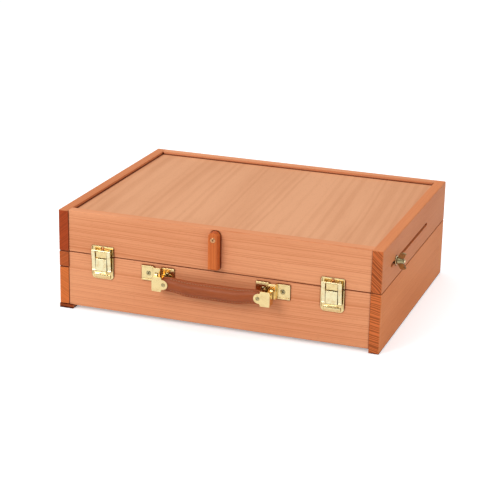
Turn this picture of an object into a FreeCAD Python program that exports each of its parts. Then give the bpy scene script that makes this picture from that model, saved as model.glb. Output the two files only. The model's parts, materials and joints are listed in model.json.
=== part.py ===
import FreeCAD, Part
import math
import os

# A wooden table sketch box: a base with a drawer that leaves through its left end, and an
# easel lid hinged at the back. All sizes are millimetres. X runs along the front to the
# right, Y runs from the front to the back, and Z is up from the table. The pieces are
# modelled about the middle of the wooden case and shifted at the end, so that the origin
# lies under the middle of the whole object, hardware included.

V = FreeCAD.Vector

# --- Wooden case -------------------------------------------------------------------------
CASE_WIDTH = 420.0
CASE_DEPTH = 320.0
BASE_HEIGHT = 76.0
LID_HEIGHT = 53.6
SEAM_GAP = 0.4            # between the base's rim and the lid's rim
BOARD = 13.0              # thickness of the solid boards
END_PROUD = 1.2           # how far the side boards' ends stand in front of the front boards
EASE = 0.8                # softened outer edges of the boards
PLY = 4.0                 # plywood panels
GROOVE = 5.0              # how deep a panel sits in a board
PANEL_RECESS = 4.0        # top panel below the lid's rim
RUNNER_HEIGHT = 5.0       # the front board clears the table by this much
RUNNER_WIDTH = 18.8
RUNNER_PROUD = 0.8
TRAY_DEPTH = 20.3         # from the base's rim down to the compartment floor
TRAY_DIVIDER = 4.0
TRAY_DIVIDER_HEIGHT = 15.0
TRAY_DIVIDER_SETBACK = 4.0    # gap between the tray dividers and the lid stays
TRAY_BACK_LANE = 113.0    # from the long divider to the back board
TRAY_RIGHT_LANE = 133.0   # from the cross divider to the right board

# --- Drawer ------------------------------------------------------------------------------
DRAWER_GAP = 0.4          # running gap around the drawer
DRAWER_BACK_ROOM = 22.4   # behind the drawer's inner end, when it is shut
DRAWER_SIDE = 8.0
DRAWER_HEADROOM = 5.3     # above the drawer's sides
DRAWER_BOTTOM = 3.0
DRAWER_BOTTOM_LIFT = 2.0  # underside of the drawer's bottom above the lower edge of its sides
DRAWER_DIVIDER = 4.0
DIVIDER_DROP = 6.0        # dividers below the drawer's sides
BRUSH_LANE = 118.0        # long compartment at the back of the drawer
CROSS_DIVIDERS = 3
KNOB_RADIUS = 7.5
KNOB_NECK = 3.8
KNOB_FOOT = 6.0
KNOB_FOOT_HEIGHT = 1.4
KNOB_FLARE = 3.0          # from the waist to the rim
KNOB_SWEEP = 1.0          # from the foot in to the waist
KNOB_DOME = 3.6           # radius of the rounding at the rim
KNOB_REACH = 12.0
KNOB_TENON = 9.0          # length of the tenon inside the drawer's front
KNOB_TENON_RADIUS = 2.0

# --- Lid stays ---------------------------------------------------------------------------
STAY_THICK = 2.0
STAY_WIDTH = 12.0
STAY_OFF_WALL = 0.7       # gap between a stay and the boards beside it
STAY_OFF_HEAD = 0.3       # gap between a stay and its pivot screw's head
PIVOT_FROM_HINGE = 118.5  # stay pivot in front of the lid's hinge line
PIVOT_BELOW_HINGE = 8.5
STUD_FROM_HINGE = 260.5   # stud in front of the hinge line with the lid shut
STUD_ABOVE_HINGE = 23.5
STUD_RADIUS = 2.0
STUD_HEAD = 4.0
STUD_HEAD_HEIGHT = 1.4
STUD_POINT = 0.6          # chamfer at the stud's tip
STUD_REACH = 11.5         # stud outside the case
SLOT_WIDTH = 5.0
SLOT_FRONT = 23.5         # the slot runs on this far in front of the shut stud
SLOT_BACK = 157.0         # and this far behind it
PIVOT_RADIUS = 2.5
PIVOT_HEAD = 4.25
PIVOT_HEAD_HEIGHT = 1.9
PIVOT_THREAD = 9.0
PIVOT_THREAD_RADIUS = 1.75
RUNNING_FIT = 0.05        # radial clearance of pins that turn in holes
WASHER_RADIUS = 5.8
WASHER_THICK = 1.2
WASHER_GAP = 0.2
NUT_RADIUS = 4.2
NUT_TOP_RADIUS = 3.1
NUT_HEIGHT = 8.0
NUT_COLLAR = 1.1          # height of the hub's straight foot
NUT_GAP = 0.2
WING_SPAN = 11.5          # from the stud's axis to a wing's tip
WING_HEIGHT = 11.0
WING_THICK = 1.8
WING_LOW = 0.30           # where a wing's outer edge starts, as a share of its height
WING_LOW_SPAN = 0.9       # how far out it is there, as a share of the span
WING_CREST = 0.72         # where it is widest
WING_TIP_SPAN = 0.84      # how far out it still is at its top
WING_STEP = 0.5           # wings stand this far in from the hub's ends
WING_TURN = 12.0          # how the wings stand with the lid shut, from upright, in degrees

# --- Back hinges -------------------------------------------------------------------------
HINGE_FROM_END = 80.0     # middle of each butt hinge from the case's end
HINGE_LENGTH = 50.0
HINGE_OFFSET = 2.5        # pin axis behind the case
BARREL_RADIUS = 2.3
HINGE_PIN_RADIUS = 1.0
HINGE_PIN_HEAD = 1.6      # radius of the pins' riveted ends
HINGE_PIN_CAP = 1.0       # and how far they stand out
HINGE_LEAF = 18.0         # leaf height from the pin axis
LEAF_THICK = 1.2
KNUCKLE_GAP = 0.15
HINGE_SCREW_X = 16.0      # screws from the hinge's middle
HINGE_SCREW_Z = 12.0      # screws from the pin axis

# --- Canvas mast -------------------------------------------------------------------------
MAST_WIDTH = 13.0
MAST_HEIGHT = 12.0
MAST_BACK_ROOM = 21.1     # behind the mast, when it is pushed in
MAST_FIT = 0.3
HEAD_WIDTH = 13.0
HEAD_THICK = 10.0
HEAD_HEIGHT = 47.5
HEAD_ABOVE_SEAM = 4.6
HEAD_ROUND = 1.2
HEAD_SCREW_DROP = 9.5     # screw below the head's top
GUIDE_LENGTH = 20.0
GUIDE_CHEEK = 12.0
GUIDE_FLOOR = 6.0
GUIDE_EASE = 2.0          # chamfer along the guides' lower edges
GUIDE_FROM_FRONT = 45.8   # from the front board to the first guide
GUIDE_FROM_BACK = 67.0    # from the back board to the second guide

# --- Draw catches ------------------------------------------------------------------------
CATCH_FROM_END = 60.0     # middle of each catch from the case's end
CATCH_WIDTH = 29.2
SHEET = 0.8               # catch sheet metal
CATCH_PLATE_HEIGHT = 29.0
CATCH_PLATE_BELOW_SEAM = 0.8
CATCH_CORNER = 5.0
RIB_WIDTH = 0.8           # folded edges of the catch plates
RIB_RISE = 1.0
PILLOW_RADIUS = 5.0       # pressed bulge below the lever
PILLOW_RISE = 1.2
PILLOW_HALF = 10.5
PILLOW_LIFT = 4.2         # middle of the bulge above the base plate's lower edge
STRIKE_HEIGHT = 12.0
STRIKE_ABOVE_SEAM = 0.6
STRIKE_CORNER = 1.2
HOOK_TOP = 7.6            # hook's shelf above the lid's rim
HOOK_REACH = 5.2          # hook's face in front of the board
TONGUE_WIDTH = 14.2
TONGUE_HEIGHT = 8.9
LEVER_PIVOT_DROP = 3.8    # lever pivot below the base's rim
LEVER_PIVOT_OUT = 3.6     # lever pivot in front of the board
LEVER_WIDTH = 14.6
LEVER_ARM = 16.2          # from the pivot down to the finger lip
LEVER_TOP = 1.6           # lever above its pivot
LEVER_FACE = 2.4          # lever's face in front of its pivot
LEVER_SHEET = 0.7
LIP_RADIUS = 0.6          # finger lip at the lever's lower end
LIP_REACH = 1.2
LIP_FALL = 0.4            # how far the lip's front hangs below its root
FLANGE_RADIUS = 1.4
LEVER_CREST = 0.45        # rounding of the lever's top edge
LINK_ARM = 14.4           # from the lever's pivot to the link's pivot
CATCH_PIN = 0.8
EYE_RADIUS = 1.5
EAR_WALL = 1.0            # ears and flanges that the pins go through
SIDE_GAP = 0.4            # between the sheets that pass each other
RAIL_GAP = 0.8            # between the lever and the link's rails
RAIL_WIDTH = 4.5
RAIL_RADIUS = 0.9
BAR_ABOVE_HOOK = 0.3      # link's cross bar above the hook's shelf
BAR_IN_FRONT = 1.3        # and in front of the hook's face
CATCH_SCREW_Z = 13.0      # lower screw above the base plate's lower edge
STRIKE_SCREW_DROP = 2.8   # upper screw below the strike's top edge

# --- Handle ------------------------------------------------------------------------------
BRACKET_X = 75.2          # middle of each bracket from the case's middle
BRACKET_WIDTH = 43.5
BRACKET_HEIGHT = 19.0
BRACKET_THICK = 1.2
BRACKET_BELOW_RIM = 13.4  # middle of the bracket below the base's rim
BRACKET_BEAD = 0.7        # raised edges
BRACKET_BEAD_WIDTH = 1.8
BRACKET_SCREW_X = 12.4
STRAP_HALF = 3.8          # half width under the strap's flat top
STRAP_FOOT = 5.4          # half width where the strap leaves the plate
STRAP_WALL = 0.9          # thickness of the strap's flanks, measured along the front
SWING_BAR = 3.0           # height of the strap's bar, between the slots that the ring swings in
RING_SIDE_GAP = 0.4       # between the ring and the sides of its slots
SWING_OUT = 5.2           # handle's swing axis in front of the board
RING_BORE = 1.8
RING_RADIUS = 3.0
RING_WIDTH = 3.2
CAP_LENGTH = 21.0
CAP_SQUARE = 12.5         # length of the full-height outer part
LOBE_HEIGHT = 12.4        # height of the round lobe that holds the rivet
CAP_HEIGHT = 18.9
CAP_DROP = 6.9            # middle of the handle below its swing axis
CAP_THICK = 12.0
CAP_SHEET = 1.2
CAP_BOW = 0.3             # how hollow the shoulder beside the lobe is
CAP_CORNER = 1.5
CAP_BACK_OUT = 6.0        # back of the caps in front of the board
CAP_SHOULDER = 9.2        # solid outer end of a cap
CAP_EYE_DROP = 2.2        # top of the solid end below the swing axis
GRIP_HEIGHT = 20.8
GRIP_SAG = 2.7            # belly's middle below the caps' middle
GRIP_THICK = 13.0
GRIP_END_HEIGHT = 16.6
GRIP_BELLY = 30.0         # half the length of the full section
GRIP_BARE = 1.0           # between the swell's end and the caps' tips
GRIP_ROUND = 4.0
GRIP_OUT = 5.2            # back of the grip in front of the board
RIVET_RADIUS = 1.6
RIVET_HEAD = 2.5
RIVET_DOME = 0.7
RIVET_CROWN = 0.7         # flat of the rivet's dome as a share of its head
RIVET_FROM_TIP = 5.5

# --- Screws ------------------------------------------------------------------------------
SCREW_FIT = 0.05
HINGE_SCREW_HEAD = 2.6    # head and shank sizes are radii
HINGE_SCREW_SHANK = 1.3
HINGE_SCREW_LENGTH = 10.0
BRACKET_SCREW_HEAD = 3.2
BRACKET_SCREW_SHANK = 1.5
BRACKET_SCREW_LENGTH = 11.0
CATCH_SCREW_HEAD = 2.5
CATCH_SCREW_SHANK = 1.1
CATCH_SCREW_LENGTH = 9.0
MAST_SCREW_HEAD = 3.4
MAST_SCREW_SHANK = 1.8
MAST_SCREW_LENGTH = 30.0
CROSS_SHARE = 0.55        # a cross recess's reach as a share of the head's radius
CROSS_WIDTH = 0.8
CROSS_DEPTH = 0.7
CROSS_HEAD = 3.0          # heads smaller than this are drawn plain

# --- Derived places ----------------------------------------------------------------------
side_x = CASE_WIDTH / 2
inner_x = side_x - BOARD
front_y = -CASE_DEPTH / 2
back_y = CASE_DEPTH / 2
face_y = front_y + END_PROUD
inner_front = face_y + BOARD
inner_back = back_y - BOARD
lid_bottom = BASE_HEIGHT + SEAM_GAP
lid_top = lid_bottom + LID_HEIGHT
panel_top = lid_top - PANEL_RECESS
panel_bottom = panel_top - PLY
floor_top = BASE_HEIGHT - TRAY_DEPTH
floor_bottom = floor_top - PLY
deck = RUNNER_HEIGHT + PLY
hinge_y = back_y + HINGE_OFFSET
hinge_z = BASE_HEIGHT + SEAM_GAP / 2
hinge_x = side_x - HINGE_FROM_END
catch_x = side_x - CATCH_FROM_END

pivot_at = (hinge_y - PIVOT_FROM_HINGE, hinge_z - PIVOT_BELOW_HINGE)
stud_at = (hinge_y - STUD_FROM_HINGE, hinge_z + STUD_ABOVE_HINGE)
stay_outer = inner_x - STAY_OFF_WALL
stay_inner = stay_outer - STAY_THICK
nut_base = side_x + WASHER_GAP + WASHER_THICK + NUT_GAP

mast_top = panel_bottom - MAST_FIT
mast_bottom = mast_top - MAST_HEIGHT
head_back = face_y - MAST_FIT
head_bottom = lid_bottom + HEAD_ABOVE_SEAM
head_top = head_bottom + HEAD_HEIGHT

lever_y = face_y - LEVER_PIVOT_OUT
lever_z = BASE_HEIGHT - LEVER_PIVOT_DROP
link_z = lever_z - LINK_ARM
hook_z = lid_bottom + HOOK_TOP
bar_y = face_y - HOOK_REACH - BAR_IN_FRONT
bar_z = hook_z + BAR_ABOVE_HOOK
lever_half = LEVER_WIDTH / 2
rail_inner = lever_half + RAIL_GAP
rail_outer = rail_inner + RAIL_WIDTH

swing_y = face_y - SWING_OUT
swing_z = BASE_HEIGHT - BRACKET_BELOW_RIM
grip_z = swing_z - CAP_DROP
cap_back = face_y - CAP_BACK_OUT
cap_front = cap_back - CAP_THICK
cap_outer = BRACKET_X + RING_WIDTH / 2
cap_tip = cap_outer - CAP_LENGTH

drawer_front_x = -inner_x - DRAWER_GAP
drawer_end_x = inner_x - DRAWER_BACK_ROOM
drawer_inside = drawer_end_x - DRAWER_SIDE - drawer_front_x
drawer_y = (inner_front + DRAWER_GAP, inner_back - DRAWER_GAP)
drawer_low = deck + DRAWER_GAP
drawer_high = floor_bottom - DRAWER_HEADROOM
drawer_deck = drawer_low + DRAWER_BOTTOM_LIFT + DRAWER_BOTTOM

# The foremost pieces are the handle's rivets or grip, or the mast's head, and the rearmost are
# the hinges' barrels. The shift centres the object over its origin.
front_reach = min(cap_front - RIVET_DOME, face_y - GRIP_OUT - GRIP_THICK, head_back - HEAD_THICK)
back_reach = hinge_y + BARREL_RADIUS
shift_y = -(front_reach + back_reach) / 2


# --- Shapes ------------------------------------------------------------------------------
def block(x, y, z):
    """A box between (low, high) pairs."""
    return Part.makeBox(x[1] - x[0], y[1] - y[0], z[1] - z[0], V(x[0], y[0], z[0]))


def eased(x, y, z, corners, size=EASE):
    """A box with some edges softened. Each corner names the two faces that meet there."""
    body = block(x, y, z)
    spans = {"x": (0, x), "y": (1, y), "z": (2, z)}
    picked = []
    for corner in corners:
        wanted = []
        for sign, letter in corner.split():
            axis, span = spans[letter]
            wanted.append((axis, span[1] if sign == "+" else span[0]))
        for edge in body.Edges:
            middle = edge.CenterOfMass
            if all(abs(middle[axis] - at) < 1e-6 for axis, at in wanted):
                picked.append(edge)
    return body.makeChamfer(size, picked)


def cylinder(radius, start, end):
    """A round bar between two points."""
    along = end - start
    return Part.makeCylinder(radius, along.Length, start, along)


def bar_x(radius, x, y, z):
    """A round bar along X between a (low, high) pair."""
    return cylinder(radius, V(x[0], y, z), V(x[1], y, z))


def obround(a, b, radius, x):
    """A round-ended bar between two (y, z) places, as wide along X as the (low, high) pair."""
    start = V(x[0], a[0], a[1])
    end = V(x[0], b[0], b[1])
    along = (end - start).normalize() * radius
    side = V(0, -along.z, along.y)
    wire = Part.Wire([
        Part.makeLine(start + side, end + side),
        Part.Arc(end + side, end + along, end - side).toShape(),
        Part.makeLine(end - side, start - side),
        Part.Arc(start - side, start - along, start + side).toShape(),
    ])
    return Part.Face(wire).extrude(V(x[1] - x[0], 0, 0))


def prism(points, along):
    """A polygon swept straight along a vector."""
    wire = Part.makePolygon(points + points[:1])
    return Part.Face(wire).extrude(along)


def turned(profile, start, axis):
    """A shape turned from (radius, height) pairs, standing at start and pointing along axis."""
    points = [V(radius, 0, height) for radius, height in profile]
    face = Part.Face(Part.makePolygon(points + points[:1]))
    body = face.revolve(V(0, 0, 0), V(0, 0, 1), 360)
    body.Placement = FreeCAD.Placement(start, FreeCAD.Rotation(V(0, 0, 1), axis))
    return body


def cross_recess(reach, at, into):
    """The cross that a driver fits, sunk into a head."""
    half = CROSS_WIDTH / 2
    sunk = (-1, CROSS_DEPTH)
    cross = block((-reach, reach), (-half, half), sunk)
    cross = cross.fuse(block((-half, half), (-reach, reach), sunk))
    cross.Placement = FreeCAD.Placement(at, FreeCAD.Rotation(V(0, 0, 1), into))
    return cross


def screw(at, into, head, shank, length, fit=0.0):
    """A countersunk screw whose head lies flush at a place, or with a fit, its hole."""
    mouth = 1.0 if fit else 0.0
    outline = [(0, -mouth), (head + fit, -mouth), (head + fit, 0), (shank + fit, head - shank)]
    if not fit:
        del outline[1]
    outline += [(shank + fit, length + fit), (0, length + fit)]
    body = turned(outline, at, into)
    if fit or head < CROSS_HEAD:
        return body
    return body.cut(cross_recess(head * CROSS_SHARE, at, into))


def holes_for(shape, screws):
    """A shape with the holes that its screws go into."""
    for args in screws:
        shape = shape.cut(screw(*args, fit=SCREW_FIT))
    return shape


def mirrored(shape):
    return shape.mirror(V(0, 0, 0), V(1, 0, 0))


def moved(shape, x):
    copy = shape.copy()
    copy.translate(V(x, 0, 0))
    return copy


def group(shapes):
    """Separate solids that share one file."""
    return Part.makeCompound(shapes)


# --- Screws, as (place, direction, head, shank, length) ----------------------------------
BACK = V(0, 1, 0)
FRONT = V(0, -1, 0)
hinge_size = (HINGE_SCREW_HEAD, HINGE_SCREW_SHANK, HINGE_SCREW_LENGTH)
bracket_size = (BRACKET_SCREW_HEAD, BRACKET_SCREW_SHANK, BRACKET_SCREW_LENGTH)
catch_size = (CATCH_SCREW_HEAD, CATCH_SCREW_SHANK, CATCH_SCREW_LENGTH)
catch_plate_low = BASE_HEIGHT - CATCH_PLATE_BELOW_SEAM - CATCH_PLATE_HEIGHT
strike_high = lid_bottom + STRIKE_ABOVE_SEAM + STRIKE_HEIGHT


def row_of_screws(middles, offset, y, z, into, size):
    """Two screws beside each middle, at one height."""
    places = [V(middle + sign * offset, y, z) for middle in middles for sign in (-1, 1)]
    return [(place, into) + size for place in places]


hinge_middles = (-hinge_x, hinge_x)
leaf_face = back_y + LEAF_THICK
low = hinge_z - HINGE_SCREW_Z
high = hinge_z + HINGE_SCREW_Z
base_leaf_screws = row_of_screws(hinge_middles, HINGE_SCREW_X, leaf_face, low, FRONT, hinge_size)
lid_leaf_screws = row_of_screws(hinge_middles, HINGE_SCREW_X, leaf_face, high, FRONT, hinge_size)
bracket_face = face_y - BRACKET_THICK
bracket_middles = (-BRACKET_X, BRACKET_X)
bracket_screws = row_of_screws(bracket_middles, BRACKET_SCREW_X, bracket_face, swing_z, BACK, bracket_size)
catch_low = catch_plate_low + CATCH_SCREW_Z
catch_high = strike_high - STRIKE_SCREW_DROP
catch_screws = [(V(x, face_y - SHEET, catch_low), BACK) + catch_size for x in (-catch_x, catch_x)]
strike_screws = [(V(x, face_y - SHEET, catch_high), BACK) + catch_size for x in (-catch_x, catch_x)]
head_at = V(0, head_back - HEAD_THICK, head_top - HEAD_SCREW_DROP)
head_screw = (head_at, BACK, MAST_SCREW_HEAD, MAST_SCREW_SHANK, MAST_SCREW_LENGTH)


# --- Base --------------------------------------------------------------------------------
panel_y = (inner_front - GROOVE, inner_back + GROOVE)
floor_z = (floor_bottom, floor_top)
deck_z = (RUNNER_HEIGHT, deck)
SIDE_CORNERS = ["+x +z", "+x -z", "+x -y", "+x +y", "-y +z", "-y -z", "+y +z", "+y -z"]


def pivot_screw():
    """The shouldered screw that the right stay turns on."""
    shoulder = STAY_OFF_HEAD + STAY_THICK + STAY_OFF_WALL
    tip = shoulder + PIVOT_THREAD
    outline = [
        (0, -PIVOT_HEAD_HEIGHT),
        (PIVOT_HEAD, -PIVOT_HEAD_HEIGHT),
        (PIVOT_HEAD, 0),
        (PIVOT_RADIUS, 0),
        (PIVOT_RADIUS, shoulder),
        (PIVOT_THREAD_RADIUS, shoulder),
        (PIVOT_THREAD_RADIUS, tip),
        (0, tip),
    ]
    return turned(outline, V(inner_x - shoulder, *pivot_at), V(1, 0, 0))


def pivot_hole():
    x = (inner_x - 1, inner_x + PIVOT_THREAD + SCREW_FIT)
    return bar_x(PIVOT_THREAD_RADIUS + SCREW_FIT, x, *pivot_at)


def base_right_board():
    board = eased((inner_x, side_x), (front_y, back_y), (0, BASE_HEIGHT), SIDE_CORNERS)
    board = board.cut(block((inner_x, inner_x + GROOVE), panel_y, deck_z))
    board = board.cut(block((inner_x, inner_x + GROOVE), panel_y, floor_z))
    return board.cut(pivot_hole())


def base_left_rail():
    rail = eased((inner_x, side_x), (front_y, back_y), (floor_top, BASE_HEIGHT), SIDE_CORNERS)
    return mirrored(rail.cut(pivot_hole()))


def base_front_board():
    x = (-inner_x, inner_x)
    groove_y = (inner_front - GROOVE, inner_front)
    board = eased(x, (face_y, inner_front), (RUNNER_HEIGHT, BASE_HEIGHT), ["-y +z", "-y -z"])
    board = board.cut(block(x, groove_y, deck_z))
    board = board.cut(block(x, groove_y, floor_z))
    return holes_for(board, bracket_screws + catch_screws)


def base_back_board():
    x = (-inner_x, inner_x)
    groove_y = (inner_back, inner_back + GROOVE)
    board = eased(x, (inner_back, back_y), (RUNNER_HEIGHT, BASE_HEIGHT), ["+y +z", "+y -z"])
    board = board.cut(block(x, groove_y, deck_z))
    board = board.cut(block(x, groove_y, floor_z))
    return holes_for(board, base_leaf_screws)


def base_left_runner():
    x = (-side_x - RUNNER_PROUD, -side_x - RUNNER_PROUD + RUNNER_WIDTH)
    return eased(x, (front_y, back_y), (0, RUNNER_HEIGHT), ["-x -y", "-x +y", "-x -z"])


def tray_dividers():
    reach = stay_inner - TRAY_DIVIDER_SETBACK
    z = (floor_top, floor_top + TRAY_DIVIDER_HEIGHT)
    lane_y = inner_back - TRAY_BACK_LANE
    lane_x = inner_x - TRAY_RIGHT_LANE
    long_strip = eased((-reach, reach), (lane_y - TRAY_DIVIDER, lane_y), z, ["-y +z", "+y +z"])
    cross = eased((lane_x - TRAY_DIVIDER, lane_x), (lane_y, inner_back), z, ["-x +z", "+x +z"])
    return group([long_strip, cross])


# --- Drawer ------------------------------------------------------------------------------
def drawer_front():
    y = (front_y + DRAWER_GAP, back_y - DRAWER_GAP)
    z = (RUNNER_HEIGHT + DRAWER_GAP, floor_top - DRAWER_GAP)
    board = eased((-side_x, drawer_front_x), y, z, [c.replace("+x", "-x") for c in SIDE_CORNERS])
    return board.cut(knob_tenon(SCREW_FIT))


def knob_tenon(fit=0.0):
    z = (RUNNER_HEIGHT + floor_top) / 2
    return bar_x(KNOB_TENON_RADIUS + fit, (-side_x - fit, -side_x + KNOB_TENON + fit), 0, z)


def drawer_knob():
    """A turned brass knob: foot, waist and domed head, with a tenon in the board."""
    z = (RUNNER_HEIGHT + floor_top) / 2
    rim = KNOB_REACH - KNOB_DOME
    outline = [(0, 0), (KNOB_FOOT, 0), (KNOB_FOOT, KNOB_FOOT_HEIGHT)]
    outline += [(KNOB_NECK, KNOB_FOOT_HEIGHT + KNOB_SWEEP), (KNOB_NECK, rim - KNOB_FLARE), (KNOB_RADIUS, rim)]
    for step in (1, 2, 3):
        turn = math.radians(30 * step)
        outline.append((KNOB_RADIUS - KNOB_DOME * (1 - math.cos(turn)), rim + KNOB_DOME * math.sin(turn)))
    outline.append((0, KNOB_REACH))
    return turned(outline, V(-side_x, 0, z), V(-1, 0, 0)).fuse(knob_tenon()).removeSplitter()


def drawer_side(y):
    """A side board of the drawer with the groove that holds its bottom."""
    z = (drawer_low, drawer_high)
    side = eased((drawer_front_x, drawer_end_x - DRAWER_SIDE), y, z, ["-y +z", "+y +z"])
    inner = y[1] - DRAWER_BOTTOM if y[0] < 0 else y[0]
    groove_z = (drawer_deck - DRAWER_BOTTOM, drawer_deck)
    return side.cut(block((drawer_front_x, drawer_end_x), (inner, inner + DRAWER_BOTTOM), groove_z))


def drawer_inner_end():
    board = block((drawer_end_x - DRAWER_SIDE, drawer_end_x), drawer_y, (drawer_low, drawer_high))
    groove_x = (drawer_end_x - DRAWER_SIDE, drawer_end_x - DRAWER_SIDE + DRAWER_BOTTOM)
    y = (drawer_y[0] + DRAWER_SIDE - DRAWER_BOTTOM, drawer_y[1] - DRAWER_SIDE + DRAWER_BOTTOM)
    return board.cut(block(groove_x, y, (drawer_deck - DRAWER_BOTTOM, drawer_deck)))


def drawer_bottom():
    x = (drawer_front_x, drawer_end_x - DRAWER_SIDE + DRAWER_BOTTOM)
    y = (drawer_y[0] + DRAWER_SIDE - DRAWER_BOTTOM, drawer_y[1] - DRAWER_SIDE + DRAWER_BOTTOM)
    return block(x, y, (drawer_deck - DRAWER_BOTTOM, drawer_deck))


lane_y = drawer_y[1] - DRAWER_SIDE - BRUSH_LANE


def drawer_long_divider():
    x = (drawer_front_x, drawer_end_x - DRAWER_SIDE)
    z = (drawer_deck, drawer_high - DIVIDER_DROP)
    return eased(x, (lane_y - DRAWER_DIVIDER, lane_y), z, ["-y +z", "+y +z"])


def drawer_cross_dividers():
    """Evenly spaced strips between the drawer's front side and the long divider."""
    y = (drawer_y[0] + DRAWER_SIDE, lane_y - DRAWER_DIVIDER)
    z = (drawer_deck, drawer_high - DIVIDER_DROP)
    pitch = drawer_inside / (CROSS_DIVIDERS + 1)
    strips = []
    for number in range(1, CROSS_DIVIDERS + 1):
        x = drawer_front_x + number * pitch
        strips.append(eased((x - DRAWER_DIVIDER / 2, x + DRAWER_DIVIDER / 2), y, z, ["-x +z", "+x +z"]))
    return group(strips)


# --- Lid ---------------------------------------------------------------------------------
lid_z = (lid_bottom, lid_top)
panel_z = (panel_bottom, panel_top)


def lid_side_board():
    """The right side board of the lid, with the slot that the stay's stud slides in."""
    board = eased((inner_x, side_x), (front_y, back_y), lid_z, SIDE_CORNERS)
    board = board.cut(block((inner_x, inner_x + GROOVE), panel_y, panel_z))
    slot_front = (stud_at[0] - SLOT_FRONT + SLOT_WIDTH / 2, stud_at[1])
    slot_back = (stud_at[0] + SLOT_BACK - SLOT_WIDTH / 2, stud_at[1])
    return board.cut(obround(slot_front, slot_back, SLOT_WIDTH / 2, (inner_x - 1, side_x + 1)))


def mast_window(y):
    """The room that the mast slides through."""
    half = MAST_WIDTH / 2 + MAST_FIT
    return block((-half, half), y, (mast_bottom - MAST_FIT, panel_bottom))


def lid_front_board():
    board = eased((-inner_x, inner_x), (face_y, inner_front), lid_z, ["-y +z", "-y -z"])
    board = board.cut(block((-inner_x, inner_x), (inner_front - GROOVE, inner_front), panel_z))
    board = board.cut(mast_window((face_y - 1, inner_front + 1)))
    return holes_for(board, strike_screws)


def lid_back_board():
    board = eased((-inner_x, inner_x), (inner_back, back_y), lid_z, ["+y +z", "+y -z"])
    board = board.cut(block((-inner_x, inner_x), (inner_back, inner_back + GROOVE), panel_z))
    return holes_for(board, lid_leaf_screws)


def lid_panel():
    return block((-inner_x - GROOVE, inner_x + GROOVE), panel_y, panel_z)


# --- Canvas mast -------------------------------------------------------------------------
def mast_bar():
    x = (-MAST_WIDTH / 2, MAST_WIDTH / 2)
    y = (head_back, inner_back - MAST_BACK_ROOM)
    return holes_for(block(x, y, (mast_bottom, mast_top)), [head_screw])


def mast_head():
    """The upright block on the mast's front end, with a round top and softened front edges."""
    half = HEAD_WIDTH / 2
    shoulder = head_top - half
    left = V(-half, head_back, shoulder)
    right = V(half, head_back, shoulder)
    foot = [left, V(-half, head_back, head_bottom), V(half, head_back, head_bottom), right]
    crown = Part.Arc(right, V(0, head_back, head_top), left).toShape()
    body = Part.Face(Part.Wire([Part.makePolygon(foot), crown])).extrude(V(0, -HEAD_THICK, 0))
    front = [e for e in body.Edges if abs(e.BoundBox.YMax - (head_back - HEAD_THICK)) < 1e-6]
    return holes_for(body.makeChamfer(HEAD_ROUND, front), [head_screw])


def mast_guides():
    """Two wooden bridges under the top panel, each with a channel for the mast."""
    half = MAST_WIDTH / 2 + MAST_FIT + GUIDE_CHEEK
    z = (mast_bottom - MAST_FIT - GUIDE_FLOOR, panel_bottom)
    bridges = []
    for start in (inner_front + GUIDE_FROM_FRONT, inner_back - GUIDE_FROM_BACK - GUIDE_LENGTH):
        y = (start, start + GUIDE_LENGTH)
        bridge = eased((-half, half), y, z, ["-x -z", "+x -z"], GUIDE_EASE)
        bridges.append(bridge.cut(mast_window((y[0] - 1, y[1] + 1))))
    return group(bridges)


# --- Lid stays, made for the right side ---------------------------------------------------
def stay_bar():
    bar = obround(pivot_at, stud_at, STAY_WIDTH / 2, (stay_inner, stay_outer))
    bar = bar.cut(bar_x(PIVOT_RADIUS + RUNNING_FIT, (stay_inner - 1, stay_outer + 1), *pivot_at))
    return bar.cut(bar_x(STUD_RADIUS + RUNNING_FIT, (stay_inner - 1, stay_outer + 1), *stud_at))


def stay_stud():
    """A stud with a flat head inside the stay, reaching out through the lid's slot."""
    reach = side_x + STUD_REACH - stay_inner
    tip = STUD_RADIUS - STUD_POINT
    outline = [
        (0, -STUD_HEAD_HEIGHT),
        (STUD_HEAD, -STUD_HEAD_HEIGHT),
        (STUD_HEAD, 0),
        (STUD_RADIUS, 0),
        (STUD_RADIUS, reach - STUD_POINT),
        (tip, reach),
        (0, reach),
    ]
    return turned(outline, V(stay_inner, *stud_at), V(1, 0, 0))


def stay_washer():
    start = side_x + WASHER_GAP
    disc = bar_x(WASHER_RADIUS, (start, start + WASHER_THICK), *stud_at)
    return disc.cut(bar_x(STUD_RADIUS + RUNNING_FIT, (start - 1, start + WASHER_THICK + 1), *stud_at))


def wing(sign):
    """One wing, as an outline in the plane of the stud's axis: X outwards, Z away from it."""
    root = sign * NUT_RADIUS / 2
    rise = sign * WING_SPAN
    start = V(WING_HEIGHT * WING_LOW, 0, rise * WING_LOW_SPAN)
    tip = V(WING_HEIGHT, 0, rise * WING_TIP_SPAN)
    bend = Part.Arc(start, V(WING_HEIGHT * WING_CREST, 0, rise), tip)
    inner = [tip, V(NUT_HEIGHT - WING_STEP, 0, root), V(WING_STEP, 0, root)]
    inner += [V(WING_STEP, 0, sign * NUT_RADIUS), start]
    outline = Part.Wire([bend.toShape(), Part.makePolygon(inner)])
    blade = Part.Face(outline).extrude(V(0, WING_THICK, 0))
    blade.translate(V(0, -WING_THICK / 2, 0))
    return blade


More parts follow.
